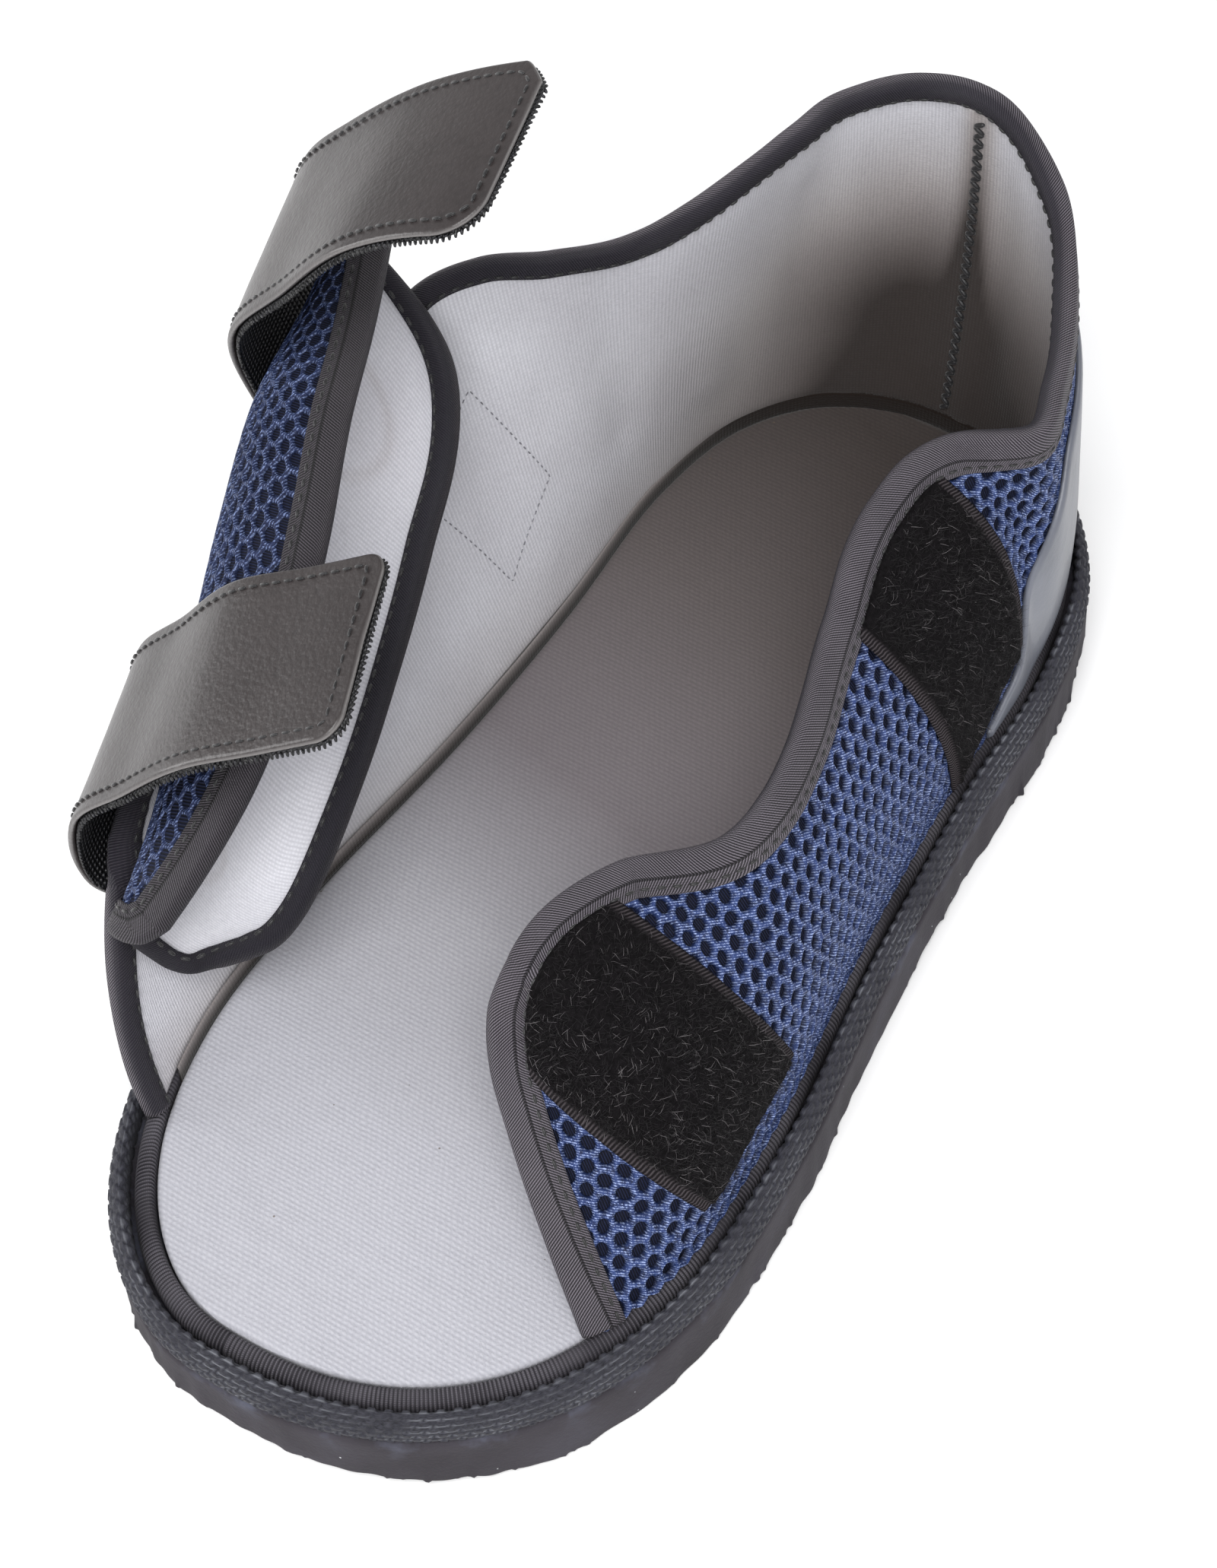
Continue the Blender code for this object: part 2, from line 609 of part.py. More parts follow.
def make_strap(end, base_rows, free_rows, collection, leatherette, hooks):
    """Strap and its hook tape: rows of points across the band, on the quarter first and then free."""
    side = np.linspace(-1, 1, 5)
    base = np.array(base_rows)
    turn = base[:, :1] + side * base[:, 2:3]
    rise = base[:, 1:2] + side * base[:, 3:4]
    seat = WALL_THICKNESS / 2 + STRAP_SEAT
    on_wall = upper_at(turn, rise) + normal_at(upper_at, turn, rise) * seat
    free = np.array(free_rows)
    scale = np.array((SOLE_WIDTH, SOLE_LENGTH, COLLAR_HEIGHT))
    origin = np.array((0.0, -SOLE_LENGTH / 2, WALL_FOOT))
    centre = origin + free[:, :3] * scale
    tangent = unit(np.gradient(np.concatenate((on_wall[-1:, 2], centre)), axis=0))[1:]
    swing, tilt = np.radians(free[:, 3]), np.radians(free[:, 4])
    width_way = np.stack((-np.sin(swing) * np.cos(tilt), np.cos(swing) * np.cos(tilt), np.sin(tilt)), axis=-1)
    width_way = unit(width_way - tangent * np.sum(width_way * tangent, axis=-1, keepdims=True))
    in_air = centre[:, None] + width_way[:, None] * side[None, :, None] * STRAP_WIDTH / 2
    rows = np.concatenate((on_wall, in_air))
    walked = np.r_[0, np.cumsum(np.linalg.norm(np.diff(rows[:, 2], axis=0), axis=-1))]
    stations = np.linspace(0, walked[-1] - STRAP_CORNER, STRAP_STEPS)
    stations = np.r_[stations, walked[-1] - STRAP_CORNER * np.array((0.45, 0.12, 0.0))]
    grid = smooth_through(walked, rows.reshape(len(rows), -1), stations).reshape(len(stations), 5, 3)
    left_over = np.clip((walked[-1] - stations) / STRAP_CORNER, 0, 1)
    drawn_in = STRAP_CORNER * (1 - np.sqrt(1 - (1 - left_over) ** 2)) / (STRAP_WIDTH / 2)
    middle = grid[:, 2:3]
    grid = middle + (grid - middle) * (1 - drawn_in)[:, None, None]
    along = np.gradient(grid, axis=0)
    across = np.gradient(grid, axis=1)
    outward = unit(np.cross(along, across))

    def layer(height):
        return grid + outward * height

    top = HOOK_THICKNESS + CLEARANCE
    add_shell("strap_" + end, layer(top + STRAP_THICKNESS), layer(top), leatherette, collection)
    add_shell("hook_" + end, layer(HOOK_THICKNESS), layer(0.0), hooks, collection)


def main():
    for thing in list(bpy.data.objects):
        bpy.data.objects.remove(thing, do_unlink=True)
    shoe = bpy.data.collections.new("post_operative_shoe")
    cutters = bpy.data.collections.new("cutters")
    for collection in (shoe, cutters):
        bpy.context.scene.collection.children.link(collection)
    foam = material("sole_foam", (0.055, 0.052, 0.055), 0.85)
    webbing = material("webbing", (0.012, 0.013, 0.017), 0.7)
    tape = material("grosgrain", (0.045, 0.044, 0.052), 0.7)
    knit = material("knit_lining", (0.62, 0.62, 0.65), 0.95)
    mesh_cloth = material("air_mesh", (0.035, 0.075, 0.19), 0.6)
    rubber = material("counter_grey", (0.36, 0.36, 0.38), 0.6)
    pile = material("loop_pile", (0.018, 0.016, 0.018), 1.0)
    leatherette = material("leatherette", (0.05, 0.042, 0.042), 0.5)
    hooks = material("hook_tape", (0.01, 0.01, 0.011), 0.6)
    make_sole(shoe, cutters, foam, webbing, tape, knit)
    make_upper(shoe, mesh_cloth, tape, rubber, pile)
    make_tongue(shoe, mesh_cloth, tape)
    make_strap("front", BASE_FRONT_ROWS, STRAP_FRONT_ROWS, shoe, leatherette, hooks)
    make_strap("rear", BASE_REAR_ROWS, STRAP_REAR_ROWS, shoe, leatherette, hooks)


main()
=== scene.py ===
import math
import bmesh
import bpy
import numpy as np
from mathutils import Matrix, Vector


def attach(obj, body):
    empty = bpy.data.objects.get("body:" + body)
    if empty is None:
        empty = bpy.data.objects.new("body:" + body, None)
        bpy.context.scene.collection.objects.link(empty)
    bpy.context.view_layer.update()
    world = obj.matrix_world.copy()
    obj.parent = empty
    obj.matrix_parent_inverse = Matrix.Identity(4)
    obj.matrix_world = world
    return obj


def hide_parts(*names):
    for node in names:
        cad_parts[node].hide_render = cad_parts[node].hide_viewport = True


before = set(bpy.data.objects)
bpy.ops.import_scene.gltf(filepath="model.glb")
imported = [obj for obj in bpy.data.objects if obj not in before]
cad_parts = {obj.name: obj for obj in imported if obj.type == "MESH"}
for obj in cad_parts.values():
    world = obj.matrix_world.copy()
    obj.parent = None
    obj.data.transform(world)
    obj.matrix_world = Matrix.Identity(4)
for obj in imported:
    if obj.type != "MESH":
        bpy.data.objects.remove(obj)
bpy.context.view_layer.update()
print("frame loaded,", len(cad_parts), "nodes")

# sizes shared with the frame, metres
shoe = {
    "length": 0.285, "width": 0.126, "outsole": 0.0164, "footbed": 0.0064,
    "weltThickness": 0.0034, "weltHeight": 0.0088,
    "tapeOuter": 0.0047, "tapeInner": 0.0090, "tapeHeight": 0.0068,
    "wall": 0.0028, "collar": 0.0932, "frontCorner": 0.009, "clearance": 0.0003, "seat": 0.0005,
    "tongueLength": 0.129, "tongueStart": 0.058, "tongueThickness": 0.0040,
    "strapWidth": 0.0395, "strapSeat": 0.0005, "hook": 0.0012, "leather": 0.0013,
}
# how finely the shared curves are read
fine = {"side": 401, "turns": 721, "ribs": 320, "rises": 65}
wallInset = shoe["tapeInner"] - shoe["wall"] / 2
welt = shoe["outsole"] + shoe["clearance"]
wallFoot = welt + shoe["tapeHeight"] + shoe["clearance"]

# The sole's outline, most ribs of the upper and the straps' free parts come from a least-squares fit to
# edges picked on the photograph.
# way from toe to heel, fullness of the half width, shift of the middle
outlineRows = (
    (0.0, 0.862, -0.020), (0.1, 1.091, 0.017), (0.2, 1.177, 0.036), (0.3, 1.141, 0.041),
    (0.4, 1.022, 0.035), (0.5, 0.910, 0.022), (0.6, 0.905, 0.007), (0.7, 1.013, -0.008),
    (0.8, 1.084, -0.018), (0.9, 1.005, -0.019), (1.0, 0.682, -0.008),
)

# ribs of the upper: turn, lean, shift, height, pull, belly, shoulder
upperRows = (
    (0.114, 0.325, 0.037, 0.385, 0.50, 0.00, 0.50), (0.130, 0.355, 0.046, 0.421, 0.34, 0.00, 0.62),
    (0.146, 0.368, 0.052, 0.453, 0.18, 0.01, 0.72), (0.162, 0.364, 0.058, 0.489, 0.08, 0.02, 0.76),
    (0.182, 0.339, 0.052, 0.511, 0.08, 0.02, 0.76), (0.203, 0.283, 0.042, 0.513, 0.08, 0.02, 0.72),
    (0.229, 0.170, 0.025, 0.516, 0.08, 0.02, 0.64), (0.250, 0.136, 0.015, 0.528, 0.08, 0.02, 0.60),
    (0.269, 0.134, 0.006, 0.539, 0.08, 0.02, 0.60), (0.309, 0.181, 0.007, 0.559, 0.08, 0.02, 0.62),
    (0.342, 0.208, 0.008, 0.638, 0.08, 0.02, 0.64), (0.355, 0.191, 0.012, 0.679, 0.08, 0.02, 0.62),
    (0.367, 0.149, 0.012, 0.698, 0.08, 0.02, 0.60), (0.379, 0.079, 0.003, 0.705, 0.50, 0.02, 0.56),
    (0.391, 0.029, -0.009, 0.702, 0.50, 0.02, 0.52), (0.410, 0.027, -0.009, 0.721, 0.50, 0.02, 0.50),
    (0.445, 0.022, 0.001, 0.792, 0.50, 0.03, 0.50), (0.475, -0.015, -0.002, 0.891, 0.50, 0.04, 0.50),
    (0.507, -0.036, -0.003, 0.990, 0.50, 0.05, 0.50), (0.530, -0.026, 0.002, 0.973, 0.50, 0.04, 0.50),
    (0.552, 0.030, 0.005, 0.972, 0.50, 0.03, 0.50), (0.584, 0.097, 0.018, 0.952, 0.50, 0.02, 0.50),
    (0.606, 0.091, 0.008, 0.916, 0.50, 0.02, 0.50), (0.626, 0.055, -0.000, 0.867, 0.50, 0.02, 0.50),
    (0.645, -0.017, 0.009, 0.799, 0.50, 0.01, 0.50), (0.667, -0.100, 0.018, 0.821, 0.50, 0.00, 0.50),
    (0.689, -0.195, 0.036, 0.838, 0.50, 0.00, 0.50), (0.708, -0.262, 0.040, 0.800, 0.50, 0.00, 0.50),
    (0.728, -0.258, 0.020, 0.700, 0.50, 0.00, 0.50), (0.748, -0.222, 0.004, 0.600, 0.50, 0.00, 0.50),
    (0.772, -0.185, -0.005, 0.550, 0.50, 0.00, 0.50), (0.800, -0.165, -0.006, 0.550, 0.50, 0.00, 0.50),
    (0.830, -0.160, 0.004, 0.530, 0.50, 0.00, 0.50), (0.856, -0.165, 0.026, 0.470, 0.50, 0.00, 0.50),
    (0.884, -0.185, 0.080, 0.410, 0.50, 0.00, 0.50), (0.911, -0.225, 0.140, 0.350, 0.50, 0.00, 0.50),
)

# sections of the tongue: way, near rim (across, along, height), far rim (the same), curl reach, curl lift
tongueRows = (
    (0.00, -0.373, -0.008, 0.455, -0.302, 0.093, 0.240, 0.16, 0.00),
    (0.14, -0.330, 0.116, 0.640, -0.275, 0.155, 0.290, 0.23, -0.02),
    (0.33, -0.336, 0.279, 0.817, -0.284, 0.326, 0.441, 0.293, -0.017),
    (0.52, -0.402, 0.465, 0.930, -0.337, 0.512, 0.525, 0.303, 0.034),
    (0.70, -0.480, 0.636, 0.999, -0.395, 0.682, 0.605, 0.28, 0.07),
    (0.87, -0.560, 0.814, 1.020, -0.462, 0.860, 0.715, 0.21, 0.06),
    (1.00, -0.622, 0.945, 1.055, -0.555, 0.990, 0.900, 0.14, 0.04),
)

# counter's upper edge: turn, rise
counterRows = (
    (0.345, 0.05), (0.356, 0.09), (0.366, 0.16), (0.374, 0.33), (0.384, 0.47), (0.394, 0.62), (0.410, 0.74),
    (0.450, 0.71), (0.507, 0.63), (0.560, 0.62), (0.610, 0.58), (0.640, 0.42), (0.658, 0.20), (0.675, 0.06),
)

# strap bases on the quarter: turn, rise, half width in turn and in rise;
# free parts: across, along, height, swing, tilt
strapRows = {
    "front": {
        "base": ((0.835, 0.10, -0.0280, 0.0), (0.835, 0.22, -0.0280, 0.0), (0.835, 0.34, -0.0280, 0.0)),
        "free": ((-0.594, 0.283, 0.342, 11, 7), (-0.594, 0.277, 0.552, 18, 5),
                 (-0.487, 0.281, 0.741, 23, 2), (-0.383, 0.290, 0.902, 32, 0),
                 (-0.265, 0.304, 1.001, 39, -3), (-0.149, 0.320, 1.097, 45, -7)),
    },
    "rear": {
        "base": ((0.697, 0.28, -0.0192, 0.131), (0.705, 0.46, -0.0192, 0.131), (0.713, 0.62, -0.0192, 0.131)),
        "free": ((-0.652, 0.600, 0.683, 5, 23), (-0.718, 0.577, 0.924, 12, 16),
                 (-0.693, 0.557, 1.148, 15, 9), (-0.572, 0.550, 1.358, 18, 8),
                 (-0.434, 0.551, 1.547, 16, 5), (-0.236, 0.559, 1.697, 15, 8)),
    },
}


# curves and surfaces
def smoothThrough(knots, values, at):
    # cubic through the rows, each slope taken from the neighbouring rows
    knots = np.asarray(knots, float)
    values = np.asarray(values, float)
    slopes = np.gradient(values, knots, axis=0, edge_order=2)
    at = np.asarray(at, float)
    cell = np.clip(np.searchsorted(knots, at, side="right") - 1, 0, len(knots) - 2)
    width = (knots[cell + 1] - knots[cell])[..., None]
    t = (at - knots[cell])[..., None] / width
    return ((1 + 2 * t) * (1 - t) ** 2 * values[cell] + t * (1 - t) ** 2 * width * slopes[cell]
            + t * t * (3 - 2 * t) * values[cell + 1] + t * t * (t - 1) * width * slopes[cell + 1])


def unit(vectors):
    return vectors / np.maximum(np.linalg.norm(vectors, axis=-1, keepdims=True), 1e-12)


def walked(points):
    # way walked along a row of points, from nothing
    return np.r_[0, np.cumsum(np.linalg.norm(np.diff(points, axis=0), axis=-1))]


def walkedOver(grid, axis):
    # way walked over a grid of points along one of its axes
    steps = np.diff(grid, axis=axis, prepend=grid.take([0], axis=axis))
    return np.cumsum(np.linalg.norm(steps, axis=-1), axis=axis)


def closedTangent(loop):
    # direction along a closed row of points, whose last point is its first
    tangent = unit(np.roll(loop[:-1], -1, axis=0) - np.roll(loop[:-1], 1, axis=0))
    return np.vstack((tangent, tangent[:1]))


def alongRow(values, way, where):
    # a row of points or vectors read at places along its way
    return np.stack([np.interp(where, way, values[:, k]) for k in range(values.shape[1])], axis=-1)


def quarter(away, radius):
    # 0 at an edge to 1 a radius in, as a quarter circle
    return np.sqrt(1 - np.clip(1 - away / radius, 0, 1) ** 2)


def soleSides(ways):
    # right and left edge of the sole at shares of the way from toe to heel
    rows = np.array(outlineRows)
    fullness, middle = smoothThrough(rows[:, 0], rows[:, 1:], ways).T
    half = np.sin(math.pi * ways) ** 0.72 * fullness * shoe["width"] / 2
    along = -shoe["length"] / 2 * np.cos(math.pi * ways)
    return (np.column_stack((middle * shoe["width"] + half, along)),
            np.column_stack((middle * shoe["width"] - half, along)))


def soleLoop(count):
    # the sole's edge from the toe up the right side and back down the left
    right, left = soleSides(np.linspace(0, 1, count))
    return np.vstack((right, left[::-1][1:]))


def bothSides(loop, count):
    # its right and its left side again, both from the toe to the heel
    return loop[:count], np.concatenate((loop[:1], loop[count:][::-1]))


def makeOutline():
    # points of the sole's edge at equal steps round it from the toe tip, with the way out at each
    loop = soleLoop(fine["side"])
    way = walked(loop)
    turns = np.linspace(0, 1, fine["turns"])
    points = alongRow(loop, way / way[-1], turns)
    tangents = np.gradient(points, axis=0)
    tangents[0] = tangents[-1] = points[1] - points[-2]
    tangents = unit(tangents)
    return turns, points, np.column_stack((tangents[:, 1], -tangents[:, 0])), way[-1]


outlineTurns, outlineEdge, outlineOut, perimeter = makeOutline()


def rim(turn, inset):
    # place on the sole's edge line drawn in by an inset, and the way out from there
    turn = np.asarray(turn, float) % 1.0
    outward = alongRow(outlineOut, outlineTurns, turn)
    return alongRow(outlineEdge, outlineTurns, turn) - outward * np.asarray(inset)[..., None], outward


def upperAt(turn, rise):
    # middle surface of the upper: a quadratic rib from the tape ring to the top line at each turn
    turn, rise = np.broadcast_arrays(np.asarray(turn, float), np.asarray(rise, float))
    rows = np.array(upperRows)
    lean, shift, height, pull, belly, shoulder = np.moveaxis(
        smoothThrough(rows[:, 0], rows[:, 1:], turn), -1, 0)
    foot, outward = rim(turn, wallInset)
    tall = height * shoe["collar"]
    back = np.stack((np.zeros_like(shift), shift * shoe["length"]), axis=-1)
    inward = -outward * (lean * shoe["width"])[..., None]
    pull = pull[..., None]
    knee = foot + inward * pull + back * pull ** 2 + outward * (belly * shoe["width"])[..., None]
    floor = np.full(turn.shape, wallFoot)
    start = np.concatenate((foot, floor[..., None]), axis=-1)
    middle = np.concatenate((knee, (floor + shoulder * tall)[..., None]), axis=-1)
    end = np.concatenate((foot + inward + back, (floor + tall)[..., None]), axis=-1)
    t = rise[..., None]
    return start * (1 - t) ** 2 + 2 * middle * t * (1 - t) + end * t * t


def tongueAt(way, cross):
    # middle surface of the tongue: a cubic section folded to the left, from the near rim to the far rim
    way, cross = np.broadcast_arrays(np.asarray(way, float), np.asarray(cross, float))
    rows = np.array(tongueRows)
    row = smoothThrough(rows[:, 0], rows[:, 1:], np.maximum(way, 0))
    # before its first row the tongue runs straight on
    first = (smoothThrough(rows[:, 0], rows[:, 1:], 0.01) - rows[0, 1:]) / 0.01
    row = row + np.minimum(way, 0)[..., None] * first
    scale = np.array((shoe["width"], shoe["tongueLength"], shoe["collar"]))
    origin = np.array((0.0, -shoe["length"] / 2 + shoe["tongueStart"], wallFoot))
    near = origin + row[..., 0:3] * scale
    far = origin + row[..., 3:6] * scale
    reach = row[..., 6:7] * shoe["width"] * np.array((-1.0, 0.0, 0.0))
    lift = row[..., 7:8] * shoe["collar"] * np.array((0.0, 0.0, 1.0))
    t = cross[..., None]
    return (near * (1 - t) ** 3 + 3 * (near + reach + lift) * t * (1 - t) ** 2
            + 3 * (far + reach - lift) * t * t * (1 - t) + far * t ** 3)


def slopesOf(surface, u, v):
    step = 1e-4
    return ((surface(u + step, v) - surface(u - step, v)) / (2 * step),
            (surface(u, v + step) - surface(u, v - step)) / (2 * step))


def normalAt(surface, u, v):
    alongU, alongV = slopesOf(surface, u, v)
    return unit(np.cross(alongU, alongV))


def walkIn(surface, u, v, heading, distance, steps=4):
    # walk over a surface from (u, v) in a world direction, for a distance, in a few steps
    for _ in range(steps):
        alongU, alongV = slopesOf(surface, u, v)
        uu = np.sum(alongU * alongU, axis=-1)
        vv = np.sum(alongV * alongV, axis=-1)
        uv = np.sum(alongU * alongV, axis=-1)
        hu = np.sum(heading * alongU, axis=-1)
        hv = np.sum(heading * alongV, axis=-1)
        below = uu * vv - uv * uv
        du = (hu * vv - hv * uv) / below
        dv = (hv * uu - hu * uv) / below
        length = np.linalg.norm(alongU * du[..., None] + alongV * dv[..., None], axis=-1)
        u = u + du / length * distance / steps
        v = v + dv / length * distance / steps
    return u, v


def lookUp(table, a, b):
    # bilinear reading of a table at shares of its rows and columns
    rows, columns = table.shape[:2]
    x = np.clip(a, 0, 1) * (rows - 1)
    y = np.clip(b, 0, 1) * (columns - 1)
    i = np.minimum(x.astype(int), rows - 2)
    j = np.minimum(y.astype(int), columns - 2)
    extra = (None,) * (table.ndim - 2)
    fx = (x - i)[(..., *extra)]
    fy = (y - j)[(..., *extra)]
    return ((table[i, j] * (1 - fy) + table[i, j + 1] * fy) * (1 - fx)
            + (table[i + 1, j] * (1 - fy) + table[i + 1, j + 1] * fy) * fx)


# rib lengths of the upper, so that its cloth is measured in metres
wallStart, wallEnd = upperRows[0][0], upperRows[-1][0]
tableTurns = np.linspace(wallStart, wallEnd, fine["ribs"])
tableRises = np.linspace(0, 1, fine["rises"])
ribSteps = np.linalg.norm(np.diff(upperAt(tableTurns[:, None], tableRises[None, :]), axis=1), axis=-1)
ribWalks = np.concatenate((np.zeros((len(tableTurns), 1)), np.cumsum(ribSteps, axis=1)), axis=1)
ribLengths = ribWalks[:, -1]
riseOfShare = np.stack([np.interp(tableRises, walk / walk[-1], tableRises) for walk in ribWalks])


def ribLength(turn):
    return np.interp(turn, tableTurns, ribLengths)


def onWall(s, h):
    # turn and rise of a place s metres round the foot line and h metres up its rib
    turn = s / perimeter
    share = (turn - wallStart) / (wallEnd - wallStart)
    return turn, lookUp(riseOfShare, share, h / ribLength(turn))


def wallPlace(turn, rise, height):
    return upperAt(turn, rise) + normalAt(upperAt, turn, rise) * np.asarray(height)[..., None]


def riseLimit(turn):
    # top line of the upper in rise, rounded off at its two front corners
    radius = shoe["frontCorner"]
    away = np.minimum(turn - wallStart, wallEnd - turn) * perimeter
    return 1 - radius * (1 - quarter(away, radius)) / ribLength(turn)


def softNoise(points, size, seed, layers=7):
    # sum of sine waves in seeded directions, from about -1 to 1
    dice = np.random.default_rng(seed)
    total = np.zeros(points.shape[:-1])
    for _ in range(layers):
        way = unit(dice.normal(size=points.shape[-1]))
        pitch = size * dice.uniform(0.7, 1.5)
        total += np.sin(points @ way * 2 * math.pi / pitch + dice.uniform(0, 2 * math.pi))
    return total / layers ** 0.5 / 1.4


def smoothStep(x):
    # smooth step from 0 to 1
    x = np.clip(x, 0, 1)
    return x * x * (3 - 2 * x)


# making meshes
def gridCorners(rows, columns):
    index = np.arange(rows * columns).reshape(rows, columns)
    return np.stack((index[:-1, :-1], index[1:, :-1], index[1:, 1:], index[:-1, 1:]), axis=-1).reshape(-1, 4)


def manyCorners(count, rows, columns):
    # corners of many small grids, one after another
    one = gridCorners(rows, columns)[:, ::-1]
    return (np.arange(count)[:, None, None] * rows * columns + one[None]).reshape(-1, 4)


def makePiece(name, sheets, keys, nodes=(), weld=1e-6, turnOut=False):
    # sheets: (points, uv in metres, flipped, finish number, tone), keys: those of its finishes;
    # borders that meet are welded
    points, corners, uvs, numbers, tones = [], [], [], [], []
    start = 0
    for grid, uv, flipped, number, tone in sheets:
        rows, columns = grid.shape[:2]
        quads = gridCorners(rows, columns)
        quads = quads[:, ::-1] if flipped else quads
        points.append(grid.reshape(-1, 3))
        corners.append(quads + start)
        uvs.append(uv.reshape(-1, 2)[quads])
        numbers.append(np.full(len(quads), number))
        tones.append(np.broadcast_to(0.0 if tone is None else tone, (rows, columns)).ravel())
        start += rows * columns
    return meshPiece(name, np.concatenate(points), np.concatenate(corners), np.concatenate(uvs),
                     np.concatenate(numbers), np.concatenate(tones), keys, nodes, weld, turnOut)


def twoSided(name, over, under, uv, keys, node, tones=(None, None), turnOut=False):
    # piece of an upper and a lower sheet, with one key for both or one each
    sheets = [(over, uv, False, 0, tones[0]), (under, uv, True, len(keys) - 1, tones[1])]
    return makePiece(name, sheets, keys, [node], turnOut=turnOut)


def meshPiece(name, points, corners, uvs, numbers, tones, keys, nodes=(), weld=1e-6, turnOut=False):
    mesh = bpy.data.meshes.new(name)
    mesh.vertices.add(len(points))
    mesh.vertices.foreach_set("co", points.astype(np.float32).ravel())
    mesh.loops.add(corners.size)
    mesh.loops.foreach_set("vertex_index", corners.astype(np.int32).ravel())
    mesh.polygons.add(len(corners))
    mesh.polygons.foreach_set("loop_start", (np.arange(len(corners)) * corners.shape[1]).astype(np.int32))
    mesh.polygons.foreach_set("material_index", numbers.astype(np.int32))
    mesh.update(calc_edges=True)
    layer = mesh.uv_layers.new(name="UVMap")
    layer.data.foreach_set("uv", uvs.astype(np.float32).ravel())
    tone = mesh.attributes.new("tone", "FLOAT", "POINT")
    tone.data.foreach_set("value", tones.astype(np.float32))
    if weld:
        cage = bmesh.new()
        cage.from_mesh(mesh)
        bmesh.ops.remove_doubles(cage, verts=cage.verts, dist=weld)
        if turnOut:
            bmesh.ops.recalc_face_normals(cage, faces=cage.faces)
        cage.to_mesh(mesh)
        cage.free()
    mesh.polygons.foreach_set("use_smooth", np.ones(len(mesh.polygons), bool))
    for key in keys:
        mesh.materials.append(finishes[key])
    piece = bpy.data.objects.new(name, mesh)
    bpy.context.scene.collection.objects.link(piece)
    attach(piece, "root")
    if nodes:
        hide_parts(*nodes)
    print("made", name, len(mesh.polygons), "faces")
    return piece


def metricUv(grid):
    # rows measured along the middle column, columns along each row from the middle
    middle = grid.shape[1] // 2
    v = walkedOver(grid, 1)
    u = np.broadcast_to(walked(grid[:, middle])[:, None], v.shape)
    return np.stack((u, v - v[:, middle:middle + 1]), axis=-1)


def edgeRounding(grid, radius, ends=True):
    # 0 at the border of a grid to 1 a radius in; without ends, only at its first and last column
    columns = walkedOver(grid, 1)
    away = np.minimum(columns, columns[:, -1:] - columns)
    if ends:
        rows = walkedOver(grid, 0)
        away = np.minimum(away, np.minimum(rows, rows[-1:] - rows))
    return quarter(away, radius)


def pillow(middle, normal, over, under, radius):
    # two sheets a height over and under a middle grid that meet at its border in a round edge
    rounding = edgeRounding(middle, radius)
    heart = (over + under) / 2
    top = middle + normal * (heart + (over - heart) * rounding)[..., None]
    low = middle + normal * (heart + (under - heart) * rounding)[..., None]
    return top, low


def denser(count, crowd):
    # shares from 0 to 1 with more of them near both ends
    t = np.linspace(0, 1, count)
    return t - crowd * np.sin(2 * math.pi * t) / (2 * math.pi)


# making finishes; colours are given as seen on a screen, 0 to 255
def tint(red, green, blue):
    # such a colour in a shader's own numbers
    seen = np.array((red, green, blue)) / 255
    light = np.where(seen <= 0.04045, seen / 12.92, ((seen + 0.055) / 1.055) ** 2.4)
    return (*light.tolist(), 1.0)


